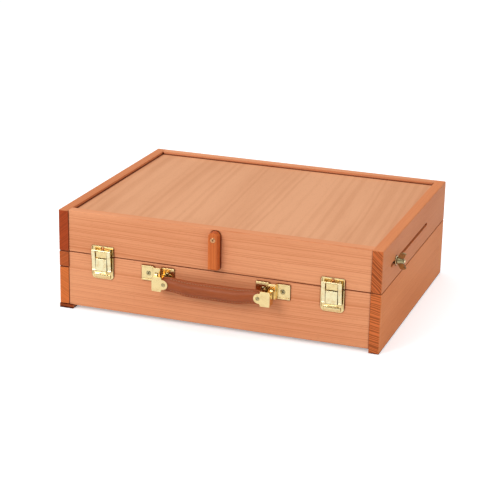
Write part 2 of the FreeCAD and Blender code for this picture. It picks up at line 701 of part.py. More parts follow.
def wing_nut():
    """A turned hub with two rounded wings, bored for the stud."""
    hub = [(0, 0), (NUT_RADIUS, 0), (NUT_RADIUS, NUT_COLLAR), (NUT_TOP_RADIUS, NUT_HEIGHT), (0, NUT_HEIGHT)]
    nut = turned(hub, V(0, 0, 0), V(1, 0, 0)).fuse(wing(-1)).fuse(wing(1))
    nut = nut.cut(bar_x(STUD_RADIUS + RUNNING_FIT, (-1, WING_HEIGHT + 1), 0, 0)).removeSplitter()
    nut.rotate(V(0, 0, 0), V(1, 0, 0), WING_TURN)
    nut.translate(V(nut_base, *stud_at))
    return nut


# --- Back hinges -------------------------------------------------------------------------
def hinge_leaf(centre, up):
    """One leaf of a butt hinge: the base's leaf has the outer knuckles, the lid's the middle."""
    third = HINGE_LENGTH / 3
    half = HINGE_LENGTH / 2
    outer = [(-half, -half + third - KNUCKLE_GAP), (half - third + KNUCKLE_GAP, half)]
    middle = [(-half + third + KNUCKLE_GAP, half - third - KNUCKLE_GAP)]
    sign = 1 if up else -1
    clear = sign * (BARREL_RADIUS + KNUCKLE_GAP)
    z = sorted((hinge_z + clear, hinge_z + sign * HINGE_LEAF))
    y = (back_y, back_y + LEAF_THICK)
    leaf = block((-half, half), y, z)
    for x in middle if up else outer:
        leaf = leaf.fuse(block(x, y, sorted((hinge_z, hinge_z + clear))))
        leaf = leaf.fuse(bar_x(BARREL_RADIUS, x, hinge_y, hinge_z))
    leaf = leaf.cut(bar_x(HINGE_PIN_RADIUS + RUNNING_FIT, (-half - 1, half + 1), hinge_y, hinge_z))
    leaf = moved(leaf.removeSplitter(), centre)
    near = [s for s in (lid_leaf_screws if up else base_leaf_screws) if abs(s[0].x - centre) < half]
    return holes_for(leaf, near)


def hinge_leaves(up):
    return group([hinge_leaf(-hinge_x, up), hinge_leaf(hinge_x, up)])


def hinge_pins():
    reach = HINGE_LENGTH / 2
    pins = []
    for centre in (-hinge_x, hinge_x):
        pin = bar_x(HINGE_PIN_RADIUS, (centre - reach, centre + reach), hinge_y, hinge_z)
        for end in (centre - reach - HINGE_PIN_CAP, centre + reach):
            pin = pin.fuse(bar_x(HINGE_PIN_HEAD, (end, end + HINGE_PIN_CAP), hinge_y, hinge_z))
        pins.append(pin.removeSplitter())
    return group(pins)


# --- Draw catches, made about x = 0 ------------------------------------------------------
def ribs(z):
    """The folded edges along both sides of a catch plate."""
    half = CATCH_WIDTH / 2
    y = (face_y - SHEET - RIB_RISE, face_y)
    right = block((half - RIB_WIDTH, half), y, z)
    return right.fuse(mirrored(right))


def pillow():
    """The low round bulge pressed out of the base's plate below the lever."""
    crest = face_y - SHEET - PILLOW_RISE
    middle_z = catch_plate_low + PILLOW_LIFT
    x = (-PILLOW_HALF, PILLOW_HALF)
    room = block(x, (crest, face_y), (catch_plate_low, middle_z + PILLOW_RADIUS))
    return bar_x(PILLOW_RADIUS, x, crest + PILLOW_RADIUS, middle_z).common(room)


def catch_plate():
    """The base's plate: round lower corners, folded edges, a bulge, and ears for the lever's pin."""
    half = CATCH_WIDTH / 2
    y = (face_y - SHEET, face_y)
    z = (catch_plate_low, catch_plate_low + CATCH_PLATE_HEIGHT)
    plate = block((-half, half), y, z)
    lower = [e for e in plate.Edges if e.BoundBox.ZMax < z[0] + 1e-6 and e.BoundBox.XLength < 1e-6]
    plate = plate.makeFillet(CATCH_CORNER, lower)
    plate = plate.fuse(pillow()).fuse(ribs((z[0] + CATCH_CORNER, z[1])))
    ear_outer = lever_half - EAR_WALL - SIDE_GAP
    for sign in (-1, 1):
        x = sorted((sign * (ear_outer - EAR_WALL), sign * ear_outer))
        web = block(x, (lever_y, face_y), (lever_z - EYE_RADIUS, lever_z + EYE_RADIUS))
        plate = plate.fuse(web.fuse(bar_x(EYE_RADIUS, x, lever_y, lever_z)))
    reach = CATCH_WIDTH
    plate = plate.cut(bar_x(CATCH_PIN + RUNNING_FIT, (-reach, reach), lever_y, lever_z))
    return plate.removeSplitter()


def catch_lever():
    """The lever's web and side flanges, with a finger lip at its lower end."""
    web_y = (lever_y - LEVER_FACE, lever_y - LEVER_FACE + LEVER_SHEET)
    low = lever_z - LEVER_ARM
    lever = block((-lever_half, lever_half), web_y, (low, lever_z + LEVER_TOP))
    lip_root = (web_y[0] + LIP_RADIUS, low + LIP_RADIUS)
    lip_front = (web_y[0] - LIP_REACH, low + LIP_RADIUS - LIP_FALL)
    lip = obround(lip_root, lip_front, LIP_RADIUS, (-lever_half, lever_half))
    lever = lever.fuse(lip)
    for sign in (-1, 1):
        x = sorted((sign * (lever_half - EAR_WALL), sign * lever_half))
        flange = obround((lever_y, lever_z), (lever_y, link_z), FLANGE_RADIUS, x)
        cheek = block(x, (web_y[0], lever_y), (link_z - FLANGE_RADIUS, lever_z + LEVER_TOP))
        lever = lever.fuse(flange.fuse(cheek))
    for z in (lever_z, link_z):
        lever = lever.cut(bar_x(CATCH_PIN + RUNNING_FIT, (-CATCH_WIDTH, CATCH_WIDTH), lever_y, z))
    lever = lever.removeSplitter()
    upper = [e for e in lever.Edges if e.BoundBox.ZMin > lever_z + LEVER_TOP - 1e-6]
    return lever.makeFillet(LEVER_CREST, [e for e in upper if e.BoundBox.YMax < web_y[0] + 1e-6])


def catch_pin(half, z):
    return bar_x(CATCH_PIN, (-half, half), lever_y, z)


def lever_pin(centre):
    return moved(catch_pin(lever_half + SIDE_GAP, lever_z), centre)


def catch_loop():
    """Two rails from the lever up to the cross bar that draws the hook down."""
    loop = bar_x(RAIL_RADIUS, (-rail_outer, rail_outer), bar_y, bar_z)
    for sign in (-1, 1):
        x = sorted((sign * rail_inner, sign * rail_outer))
        rail = obround((lever_y, link_z), (bar_y, bar_z), RAIL_RADIUS, x)
        loop = loop.fuse(rail.fuse(bar_x(EYE_RADIUS, x, lever_y, link_z)))
    loop = loop.cut(bar_x(CATCH_PIN + RUNNING_FIT, (-CATCH_WIDTH, CATCH_WIDTH), lever_y, link_z))
    return loop.removeSplitter()


def catch_strike():
    """The lid's plate, with a hook folded out at the top of its tongue and hanging down."""
    half = CATCH_WIDTH / 2
    z = (lid_bottom + STRIKE_ABOVE_SEAM, strike_high)
    plate = block((-half, half), (face_y - SHEET, face_y), z)
    upper = [e for e in plate.Edges if e.BoundBox.ZMin > z[1] - 1e-6 and e.BoundBox.XLength < 1e-6]
    plate = plate.makeFillet(STRIKE_CORNER, upper)
    plate = plate.fuse(ribs((z[0], z[1] - STRIKE_CORNER)))
    tongue_x = (-TONGUE_WIDTH / 2, TONGUE_WIDTH / 2)
    shelf = block(tongue_x, (face_y - HOOK_REACH, face_y - SHEET), (hook_z - SHEET, hook_z))
    tongue_y = (face_y - HOOK_REACH, face_y - HOOK_REACH + SHEET)
    tongue = block(tongue_x, tongue_y, (hook_z - TONGUE_HEIGHT, hook_z))
    return plate.fuse(shelf.fuse(tongue)).removeSplitter()


# --- Handle ------------------------------------------------------------------------------
def handle_bracket():
    """A screwed plate with raised edges and a strap that stands out over the handle's ring.

    A slot below and a window above leave the bar that the ring swings round.
    """
    half = BRACKET_WIDTH / 2
    foot = STRAP_FOOT
    z = (swing_z - BRACKET_HEIGHT / 2, swing_z + BRACKET_HEIGHT / 2)
    y = (face_y - BRACKET_THICK, face_y)
    bracket = None
    for sign in (-1, 1):
        wing = block(sorted((sign * foot, sign * half)), y, z)
        for bead_z in ((z[0], z[0] + BRACKET_BEAD_WIDTH), (z[1] - BRACKET_BEAD_WIDTH, z[1])):
            bead_y = (y[0] - BRACKET_BEAD, y[0])
            wing = wing.fuse(block(sorted((sign * foot, sign * half)), bead_y, bead_z))
        bracket = wing if bracket is None else bracket.fuse(wing)
    outer = face_y - SWING_OUT - BRACKET_THICK / 2
    inner = outer + BRACKET_THICK
    root = foot + BRACKET_THICK
    under = [(root, face_y), (foot, face_y), (STRAP_HALF, inner)]
    over = [(STRAP_HALF + STRAP_WALL, outer), (foot + STRAP_WALL, y[0]), (root, y[0])]
    outside = over[::-1] + [(-x, depth) for x, depth in over]
    inside = [(-x, depth) for x, depth in under] + under[::-1]
    around = outside + inside
    strap = prism([V(x, depth, z[0]) for x, depth in around], V(0, 0, BRACKET_HEIGHT))
    slot = RING_WIDTH / 2 + RING_SIDE_GAP
    bar_z = (swing_z - SWING_BAR / 2, swing_z + SWING_BAR / 2)
    for slot_z in ((z[0] - 1, bar_z[0]), (bar_z[1], swing_z + RING_RADIUS + RING_SIDE_GAP)):
        strap = strap.cut(block((-slot, slot), (outer - 1, face_y), slot_z))
    return bracket.fuse(strap).removeSplitter()


def bracket_at(centre):
    near = [s for s in bracket_screws if abs(s[0].x - centre) < BRACKET_WIDTH / 2]
    return holes_for(moved(handle_bracket(), centre), near)


def rivet_hole(sign):
    x = sign * (cap_tip + RIVET_FROM_TIP)
    return cylinder(RIVET_RADIUS + SCREW_FIT, V(x, cap_back + 1, grip_z), V(x, cap_front - 1, grip_z))


def cap_outline():
    """The right cap from the front: a square outer part, and a round lobe towards the grip."""
    high = grip_z + CAP_HEIGHT / 2
    low = grip_z - CAP_HEIGHT / 2
    waist = cap_outer - CAP_SQUARE
    lobe = LOBE_HEIGHT / 2
    round_x = cap_tip + lobe
    wall_x = cap_outer - CAP_SHOULDER
    square = [V(waist, cap_back, low), V(wall_x, cap_back, low)]
    square += [V(wall_x, cap_back, high), V(waist, cap_back, high)]
    upper = V(round_x, cap_back, grip_z + lobe)
    lower = V(round_x, cap_back, grip_z - lobe)
    bow = (waist - round_x) * CAP_BOW
    over = Part.Arc(square[3], (square[3] + upper) * 0.5 + V(bow, 0, -bow), upper).toShape()
    under = Part.Arc(lower, (lower + square[0]) * 0.5 + V(bow, 0, bow), square[0]).toShape()
    tip = Part.Arc(upper, V(cap_tip, cap_back, grip_z), lower).toShape()
    return Part.Wire([Part.makePolygon(square), over, tip, under])


def handle_cap():
    """The right cap: two riveted cheeks with lobed tips, a solid end and the swing ring."""
    z = (grip_z - CAP_HEIGHT / 2, grip_z + CAP_HEIGHT / 2)
    wall_x = cap_outer - CAP_SHOULDER
    cap = Part.Face(cap_outline()).extrude(V(0, -CAP_THICK, 0))
    mouth_y = (cap_front + CAP_SHEET, cap_back - CAP_SHEET)
    cap = cap.cut(block((cap_tip - 1, wall_x), mouth_y, (z[0] - 1, z[1] + 1)))
    end_top = swing_z - CAP_EYE_DROP
    cap = cap.fuse(block((wall_x, cap_outer), (cap_front, cap_back), (z[0], end_top)))
    cap = cap.fuse(block((wall_x, cap_outer), (cap_front, mouth_y[0]), z)).removeSplitter()
    outer = [e for e in cap.Edges if e.BoundBox.XMin > cap_outer - 1e-6 and e.BoundBox.ZLength < 1e-6]
    corners = [e for e in outer if e.BoundBox.ZMax < z[0] + 1e-6 or e.BoundBox.ZMin > z[1] - 1e-6]
    cap = cap.makeFillet(CAP_CORNER, corners)
    ring_x = (BRACKET_X - RING_WIDTH / 2, BRACKET_X + RING_WIDTH / 2)
    neck = block(ring_x, (cap_back - RING_RADIUS, swing_y), (z[0] + CAP_CORNER, swing_z - RING_BORE))
    cap = cap.fuse(bar_x(RING_RADIUS, ring_x, swing_y, swing_z).fuse(neck))
    cap = cap.cut(bar_x(RING_BORE, (ring_x[0] - 1, ring_x[1] + 1), swing_y, swing_z))
    return cap.cut(rivet_hole(1)).removeSplitter()


def grip_section(x, height, thick, sag):
    """A rounded rectangle standing across the grip."""
    middle = face_y - GRIP_OUT - GRIP_THICK / 2
    y = (middle - thick / 2, middle + thick / 2)
    section = block((x, x + 1), y, (grip_z - sag - height / 2, grip_z - sag + height / 2))
    along = [e for e in section.Edges if e.BoundBox.XLength > 0.5]
    section = section.makeFillet(GRIP_ROUND, along)
    return min(section.Faces, key=lambda face: face.CenterOfMass.x).OuterWire


def handle_grip():
    """A leather grip that swells towards its middle, with flat ends between the caps' cheeks."""
    swell = cap_tip - GRIP_BARE
    tab_y = (cap_front + CAP_SHEET, cap_back - CAP_SHEET)
    tab_z = (grip_z - GRIP_END_HEIGHT / 2, grip_z + GRIP_END_HEIGHT / 2)
    belly = (GRIP_HEIGHT, GRIP_THICK, GRIP_SAG)
    neck = (GRIP_END_HEIGHT, tab_y[1] - tab_y[0], 0)
    stations = [(-swell, neck), (-GRIP_BELLY, belly), (GRIP_BELLY, belly), (swell, neck)]
    grip = Part.makeLoft([grip_section(x, *size) for x, size in stations], True, True)
    for sign in (-1, 1):
        end = sign * (cap_outer - CAP_SHOULDER)
        tab = block(sorted((sign * swell, end)), tab_y, tab_z)
        grip = grip.fuse(tab.cut(rivet_hole(sign)))
    return grip.removeSplitter()


def handle_rivets():
    """One domed rivet through each end of the handle."""
    rivets = []
    for sign in (-1, 1):
        x = sign * (cap_tip + RIVET_FROM_TIP)
        crown = RIVET_HEAD * RIVET_CROWN
        profile = [
            (0, -RIVET_DOME), (crown, -RIVET_DOME), (RIVET_HEAD, 0), (RIVET_RADIUS, 0),
            (RIVET_RADIUS, CAP_THICK), (RIVET_HEAD, CAP_THICK), (crown, CAP_THICK + RIVET_DOME),
            (0, CAP_THICK + RIVET_DOME),
        ]
        rivets.append(turned(profile, V(x, cap_back, grip_z), V(0, -1, 0)))
    return group(rivets)


# --- The whole object --------------------------------------------------------------------
def build():
    pieces = {
        "base_front_board": base_front_board(),
        "base_back_board": base_back_board(),
        "base_right_board": base_right_board(),
        "base_left_rail": base_left_rail(),
        "base_left_runner": base_left_runner(),
        "base_bottom_panel": block((-inner_x, inner_x + GROOVE), panel_y, deck_z),
        "compartment_floor": block((-inner_x, inner_x + GROOVE), panel_y, floor_z),
        "tray_dividers": tray_dividers(),
        "stay_pivot_screws": group([pivot_screw(), mirrored(pivot_screw())]),
        "hinge_base_leaves": hinge_leaves(False),
        "hinge_lid_leaves": hinge_leaves(True),
        "hinge_pins": hinge_pins(),
        "hinge_base_screws": group([screw(*s) for s in base_leaf_screws]),
        "hinge_lid_screws": group([screw(*s) for s in lid_leaf_screws]),
        "handle_bracket_left": bracket_at(-BRACKET_X),
        "handle_bracket_right": bracket_at(BRACKET_X),
        "handle_bracket_screws": group([screw(*s) for s in bracket_screws]),
        "catch_base_screws": group([screw(*s) for s in catch_screws]),
        "catch_strike_screws": group([screw(*s) for s in strike_screws]),
        "catch_lever_pins": group([lever_pin(-catch_x), lever_pin(catch_x)]),
        "drawer_front": drawer_front(),
        "drawer_front_side": drawer_side((drawer_y[0], drawer_y[0] + DRAWER_SIDE)),
        "drawer_back_side": drawer_side((drawer_y[1] - DRAWER_SIDE, drawer_y[1])),
        "drawer_inner_end": drawer_inner_end(),
        "drawer_bottom": drawer_bottom(),
        "drawer_long_divider": drawer_long_divider(),
        "drawer_cross_dividers": drawer_cross_dividers(),
        "drawer_knob": drawer_knob(),
        "lid_front_board": lid_front_board(),
        "lid_back_board": lid_back_board(),
        "lid_right_board": lid_side_board(),
        "lid_left_board": mirrored(lid_side_board()),
        "lid_panel": lid_panel(),
        "mast_guides": mast_guides(),
        "mast_bar": mast_bar(),
        "mast_head": mast_head(),
        "mast_screw": screw(*head_screw),
        "handle_grip": handle_grip(),
        "handle_cap_right": handle_cap(),
        "handle_cap_left": mirrored(handle_cap()),
        "handle_rivets": handle_rivets(),
    }
    for name, centre in (("left", -catch_x), ("right", catch_x)):
        near = [s for s in catch_screws + strike_screws if s[0].x == centre]
        pieces["catch_plate_" + name] = holes_for(moved(catch_plate(), centre), near[:1])
        pieces["catch_strike_" + name] = holes_for(moved(catch_strike(), centre), near[1:])
        pieces["catch_lever_" + name] = moved(catch_lever(), centre)
        pieces["catch_loop_" + name] = moved(catch_loop(), centre)
        pieces["catch_loop_pin_" + name] = moved(catch_pin(rail_outer + SIDE_GAP, link_z), centre)
    for make in (stay_bar, stay_stud, stay_washer, wing_nut):
        pieces[make.__name__ + "_right"] = make()
        pieces[make.__name__ + "_left"] = mirrored(make())
    return pieces


def main():
    os.makedirs("parts", exist_ok=True)
    for name, shape in build().items():
        shape = shape.copy()
        shape.translate(V(0, shift_y, 0))
        shape.exportStep("parts/" + name + ".step")
        print(name, len(shape.Solids), "valid" if shape.isValid() else "INVALID", round(shape.Volume))


main()
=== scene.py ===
"""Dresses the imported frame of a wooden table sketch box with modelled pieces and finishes."""
import json
import math

import bmesh
import bpy
from bpy.props import FloatProperty, FloatVectorProperty, PointerProperty
from mathutils import Matrix, Quaternion, Vector

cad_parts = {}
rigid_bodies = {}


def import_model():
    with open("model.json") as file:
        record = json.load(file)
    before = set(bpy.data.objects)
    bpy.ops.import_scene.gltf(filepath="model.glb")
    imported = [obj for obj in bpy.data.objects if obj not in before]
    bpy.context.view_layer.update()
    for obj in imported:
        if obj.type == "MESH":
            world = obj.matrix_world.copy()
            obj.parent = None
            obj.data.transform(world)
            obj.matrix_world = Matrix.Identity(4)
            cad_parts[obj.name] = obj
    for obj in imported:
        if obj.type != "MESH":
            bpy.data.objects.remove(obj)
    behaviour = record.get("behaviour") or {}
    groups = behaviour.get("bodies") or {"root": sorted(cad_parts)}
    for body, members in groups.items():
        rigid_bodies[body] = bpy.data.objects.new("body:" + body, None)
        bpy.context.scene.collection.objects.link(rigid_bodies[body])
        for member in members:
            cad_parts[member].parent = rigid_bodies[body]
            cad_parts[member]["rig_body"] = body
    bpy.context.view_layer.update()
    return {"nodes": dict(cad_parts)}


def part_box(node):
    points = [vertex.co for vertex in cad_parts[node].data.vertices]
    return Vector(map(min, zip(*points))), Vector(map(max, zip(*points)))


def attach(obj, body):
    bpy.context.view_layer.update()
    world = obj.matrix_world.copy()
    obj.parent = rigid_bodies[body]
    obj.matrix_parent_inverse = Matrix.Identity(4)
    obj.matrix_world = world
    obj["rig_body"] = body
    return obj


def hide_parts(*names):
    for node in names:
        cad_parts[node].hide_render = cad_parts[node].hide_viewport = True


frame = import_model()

bl_info = {
    "name": "Table Sketch Box",
    "version": (1, 0, 0),
    "blender": (4, 5, 0),
    "location": "View3D > Sidebar > Sketch Box",
    "description": "Models and finishes the pieces of a wooden table sketch box",
    "category": "Object",
}

MM = 0.001
X_AXIS = Vector((1, 0, 0))
FRONT = Vector((0, -1, 0))
BACK = Vector((0, 1, 0))
SIDES = ("left", "right")
# Vertices nearer and faces flatter than this are one, and edges sharper than this are rounded.
MERGE = 1e-6
FLAT_ANGLE = math.radians(1.0)
SHARP_ANGLE = math.radians(32.0)


# --- Properties --------------------------------------------------------------------------
def size(name, default, about):
    """A length that the user may change, in metres."""
    return FloatProperty(
        name=name, description=about, default=default, min=0.0, unit="LENGTH", precision=5)


def angle_of(name, degrees, about):
    """An angle that the user may change."""
    return FloatProperty(name=name, description=about, default=math.radians(degrees), subtype="ANGLE")


def colour(name, default, about):
    """A colour that the user may change."""
    return FloatVectorProperty(
        name=name, description=about, default=default, size=3, min=0.0, max=1.0, subtype="COLOR")


class SKETCHBOX_PG_wood(bpy.types.PropertyGroup):
    """Colours and grain of the wooden boards."""
    pale: colour("Beech, pale", (0.80, 0.345, 0.172), "Pale early wood of the beech boards")
    deep: colour("Beech, deep", (0.62, 0.215, 0.090), "Deep late wood of the beech boards")
    end: colour("Beech, end grain", (0.45, 0.109, 0.031), "Sawn ends of the beech boards")
    ply_pale: colour("Veneer, pale", (0.76, 0.372, 0.195), "Pale bands of the plywood's veneer")
    ply_deep: colour("Veneer, deep", (0.60, 0.262, 0.125), "Deep bands of the plywood's veneer")
    mast_pale: colour("Mast, pale", (0.66, 0.165, 0.036), "Pale grain of the mast's head")
    mast_deep: colour("Mast, deep", (0.45, 0.082, 0.016), "Deep grain of the mast's head")
    ring: size("Growth ring", 3.0 * MM, "Average distance between two growth rings")
    # Painted shade in the seams between the boards: the share of open air below which a seam's edges are
    # fully darkened.
    painted_seam_shade: FloatProperty(
        name="Grime", description="Share of open air below which a seam's edges are fully dark",
        default=0.56, min=0.0, max=0.94)
    # The same painted shade, stronger, in the gaps around the drawer.
    loose_painted_seam_shade: FloatProperty(
        name="Grime at the drawer", description="The same for the loose boards at the left end",
        default=0.78, min=0.0, max=0.94)
    edge: size("Edge rounding", 0.35 * MM, "Extra rounding on the mast's head")


class SKETCHBOX_PG_metal(bpy.types.PropertyGroup):
    """Colours and rounding of the metal fittings."""
    brass: colour("Brass", (0.95, 0.84, 0.51), "Polished brass plating")
    gilt: colour("Gilt brass", (0.92, 0.72, 0.35), "Deeper plating of the handle's and catches' plates")
    worn: colour("Brass, worn", (0.80, 0.56, 0.25), "Brass where the plating is dull")
    cast: colour("Cast brass", (0.50, 0.42, 0.22), "Dull brass of the wing nuts and the handle's rivets")
    tarnish: colour("Tarnish", (0.17, 0.12, 0.05), "Tarnish on the dull brass")
    copper: colour("Copper", (0.74, 0.36, 0.16), "Coppered screw and nails")
    copper_worn: colour("Copper, worn", (0.42, 0.16, 0.08), "Coppering where it is dull")
    sheet_round: size("Sheet rounding", 0.22 * MM, "Rounding of folded sheet metal")
    cast_round: size("Casting rounding", 0.6 * MM, "Rounding of the cast pieces")
    thread: size("Thread pitch", 0.7 * MM, "Pitch of the thread on the stay studs")


class SKETCHBOX_PG_grip(bpy.types.PropertyGroup):
    """Colours and sizes of the leather grip."""
    leather: colour("Leather", (0.33, 0.068, 0.011), "Brown leather of the grip")
    crease: colour("Leather, crease", (0.18, 0.034, 0.006), "Leather in its creases and along its edges")
    yarn: colour("Yarn", (0.47, 0.20, 0.085), "Waxed yarn of the stitches")
    belly: size("Belly height", 20.8 * MM, "Height of the grip where a hand holds it")
    neck: size("Neck height", 18.6 * MM, "Height of the grip where it enters the caps")
    cheek: size("Neck thickness", 9.6 * MM, "Thickness of the grip where it enters the caps")
    stitch: size("Stitch length", 2.7 * MM, "Length of one stitch")
    pitch: size("Stitch pitch", 3.6 * MM, "Distance from one stitch to the next")
    fill: FloatProperty(
        name="Fill", description="How tightly the leather is filled: 0 slack, 1 tight", default=1.0,
        min=0.0, max=1.0)
    yarn_radius: size("Yarn radius", 0.38 * MM, "Radius of the yarn")


class SKETCHBOX_PG_stage(bpy.types.PropertyGroup):
    """Camera and floor."""
    azimuth: angle_of("Azimuth", 19.34, "Camera's turn to the right of the front")
    elevation: angle_of("Elevation", 18.70, "Camera's height above the horizon")
    roll: angle_of("Roll", 1.195, "Camera's turn about its own axis")
    lens: FloatProperty(
        name="Lens", description="Focal length on a 36 mm sensor", default=113.92, min=1.0, unit="CAMERA")
    distance: size("Distance", 2.0957, "From the camera to the point it aims at")
    floor: colour("Floor", (0.885, 0.92, 0.955), "Plain pale floor")


# --- Modelling helpers -------------------------------------------------------------------
def only(obj):
    """Makes an object the one that is selected and active."""
    bpy.ops.object.select_all(action="DESELECT")
    obj.select_set(True)
    bpy.context.view_layer.objects.active = obj
    return obj


def made():
    """The object that the last operator made."""
    return bpy.context.view_layer.objects.active


def named(obj, name):
    """Gives an object and its data the same name."""
    obj.name = name
    obj.data.name = name
    return obj


def editing(obj, mode="VERT"):
    """Opens an object in edit mode with nothing selected and returns its mesh to select in."""
    only(obj)
    bpy.ops.object.mode_set(mode="EDIT")
    bpy.ops.mesh.select_mode(type=mode)
    bpy.ops.mesh.select_all(action="DESELECT")
    return bmesh.from_edit_mesh(obj.data)


def close_edit():
    """Leaves edit mode, after merging doubles and turning the faces outwards."""
    bpy.ops.mesh.select_all(action="SELECT")
    bpy.ops.mesh.remove_doubles(threshold=MERGE)
    bpy.ops.mesh.normals_make_consistent(inside=False)
    bpy.ops.object.mode_set(mode="OBJECT")


def modified(obj, kind, **settings):
    """Adds a modifier and applies it."""
    modifier = obj.modifiers.new(kind.title(), kind)
    for key, value in settings.items():
        setattr(modifier, key, value)
    only(obj)
    bpy.ops.object.modifier_apply(modifier=modifier.name)
    return obj


def smooth(obj, angle=35.0):
    """Smooth shading that keeps the sharp edges and flat faces crisp."""
    only(obj)
    bpy.ops.object.shade_smooth_by_angle(angle=math.radians(angle))
    return modified(obj, "WEIGHTED_NORMAL", keep_sharp=True)


def settle(obj):
    """Puts an object's place, turn and scale into its mesh."""
    only(obj)
    bpy.ops.object.transform_apply(location=True, rotation=True, scale=True)
    return obj


def copied(obj, transform):
    """A copy with its own mesh, which is moved and turned by a matrix."""
    copy = obj.copy()
    copy.data = obj.data.copy()
    bpy.context.collection.objects.link(copy)
    copy.data.transform(transform)
    return copy


def joined(parts, name):
    """Several objects as one piece."""
    bpy.ops.object.select_all(action="DESELECT")
    for part in parts:
        part.select_set(True)
    bpy.context.view_layer.objects.active = parts[0]
    if len(parts) > 1:
        bpy.ops.object.join()
    return named(parts[0], name)


def merged_copy(node, name):
    """A copy of a CAD node's mesh with its triangles merged into whole faces."""
    source = frame["nodes"][node]
    piece = bpy.data.objects.new(name, source.data.copy())
    bpy.context.collection.objects.link(piece)
    piece.data.materials.clear()
    editing(piece)
    bpy.ops.mesh.select_all(action="SELECT")
    bpy.ops.mesh.remove_doubles(threshold=MERGE)
    bpy.ops.mesh.dissolve_limited(angle_limit=FLAT_ANGLE)
    bpy.ops.object.mode_set(mode="OBJECT")
    return piece


def softened(node, rounding, finish, name=None):
    """A CAD node's copy with its sharp edges rounded over and a finish, which stands for the node."""
    piece = merged_copy(node, name or "soft_" + node)
    modified(
        piece, "BEVEL", width=rounding, segments=2, limit_method="ANGLE", angle_limit=SHARP_ANGLE,
        use_clamp_overlap=True, miter_outer="MITER_ARC")
    stands_for(smooth(piece), node)
    dress(piece, finish)


def stands_for(piece, node):
    """The piece rides where the CAD node rides and hides it."""
    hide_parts(node)
    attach(piece, frame["nodes"][node]["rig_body"])
    return piece


def solids(node):
    """The (low, high) box of each separate solid in a CAD node, from left to right."""
    mesh = bmesh.new()
    mesh.from_mesh(frame["nodes"][node].data)
    bmesh.ops.remove_doubles(mesh, verts=mesh.verts, dist=MERGE)
    waiting = set(mesh.verts)
    boxes = []
    while waiting:
        island = [waiting.pop()]
        for vert in island:
            for edge in vert.link_edges:
                other = edge.other_vert(vert)
                if other in waiting:
                    waiting.remove(other)
                    island.append(other)
        low = Vector([min(v.co[axis] for v in island) for axis in range(3)])
        high = Vector([max(v.co[axis] for v in island) for axis in range(3)])
        boxes.append((low, high))
    mesh.free()
    return sorted(boxes, key=lambda box: (round(box[0].x, 5), round(box[0].z, 5)))


def turned(name, profile, start, axis, segments=32):
    """A shape spun from (radius, height) pairs, standing at start and pointing along axis."""
    bpy.ops.mesh.primitive_circle_add(vertices=segments, radius=profile[0][0], fill_type="NGON")
    obj = made()
    editing(obj, "FACE")
    bpy.ops.mesh.select_all(action="SELECT")
    bpy.ops.transform.translate(value=(0, 0, profile[0][1]))
    for before, after in zip(profile, profile[1:]):
        bpy.ops.mesh.extrude_region_move(TRANSFORM_OT_translate={"value": (0, 0, after[1] - before[1])})
        share = after[0] / before[0]
        bpy.ops.transform.resize(value=(share, share, 1), center_override=(0, 0, after[1]))
    close_edit()
    turn = Vector((0, 0, 1)).rotation_difference(Vector(axis))
    obj.data.transform(Matrix.Translation(start) @ turn.to_matrix().to_4x4())
    return named(obj, name)


# --- Finishes ----------------------------------------------------------------------------
# Share of open air from which a surface counts as free of any gap.
OPEN_AIR = 0.95


class Nodes:
    """A node tree, with one short call for a node and its inputs."""

    def __init__(self, tree):
        self.tree = tree
        self.place = self.add("TexCoord").outputs

    def set(self, node, sockets):
        """Links or sets a node's inputs by name or number."""
        for key, value in sockets.items():
            socket = node.inputs[key]
            if isinstance(value, bpy.types.NodeSocket):
                self.tree.links.new(value, socket)
            else:
                socket.default_value = value

    def add(self, kind, sockets=None, **settings):
        """Adds a shader node with its settings and inputs."""
        node = self.tree.nodes.new("ShaderNode" + kind)
        for key, value in settings.items():
            setattr(node, key, value)
        self.set(node, sockets or {})
        return node

    def math(self, operation, *values, clamp=False):
        """A sum or another operation on values."""
        node = self.add("Math", dict(enumerate(values)), operation=operation, use_clamp=clamp)
        return node.outputs[0]

    def vector(self, operation, *values):
        """An operation on vectors."""
        node = self.add("VectorMath", dict(enumerate(values)), operation=operation)
        return node.outputs["Value" if operation in ("LENGTH", "DOT_PRODUCT") else "Vector"]

    def noise(self, vector, waves, detail, roughness, output="Fac"):
        """Noise with so many waves in a metre along each axis."""
        stretched = self.vector("MULTIPLY", vector, waves)
        sockets = {"Vector": stretched, "Scale": 1.0, "Detail": detail, "Roughness": roughness}
        return self.add("TexNoise", sockets).outputs[output]

    def span(self, value, low, high, to_low=0.0, to_high=1.0):
        """Maps the values from low to high smoothly onto those from to_low to to_high."""
        sockets = {"Value": value, "From Min": low, "From Max": high, "To Min": to_low, "To Max": to_high}
        return self.add("MapRange", sockets, interpolation_type="SMOOTHSTEP").outputs["Result"]

    def mix(self, share, first, second, blend="MIX"):
        """Blends a second colour into the first one, by a share."""
        node = self.add("Mix", data_type="RGBA", blend_type=blend)
        self.set(node, {0: share, 6: first, 7: second})
        return node.outputs[2]

    def hidden(self, reach, inside=0.50):
        """How deep a point lies in a gap: 0 in the open, 1 where it sees the inside share of air."""
        open_air = self.add("AmbientOcclusion", {"Distance": reach}, samples=8).outputs["AO"]
        return self.span(open_air, OPEN_AIR, inside)

    def bump(self, height, strength, distance):
        """A normal that is tilted by small heights."""
        sockets = {"Height": height, "Strength": strength, "Distance": distance}
        return self.add("Bump", sockets).outputs["Normal"]


class Finish(Nodes):
    """A new material with its shader's inputs."""

    def __init__(self, name, **sockets):
        self.material = bpy.data.materials.new(name)
        self.material.use_nodes = True
        super().__init__(self.material.node_tree)
        self.shader = self.tree.nodes["Principled BSDF"]
        self.set(self.shader, sockets)


def rgba(value, shade=1.0):
    """A colour made lighter or darker, with its alpha."""
    return tuple(min(1.0, part * shade) for part in value) + (1.0,)


def tinted(value, tint):
    """A colour multiplied by a tint."""
    return tuple(part * share for part, share in zip(value, tint))


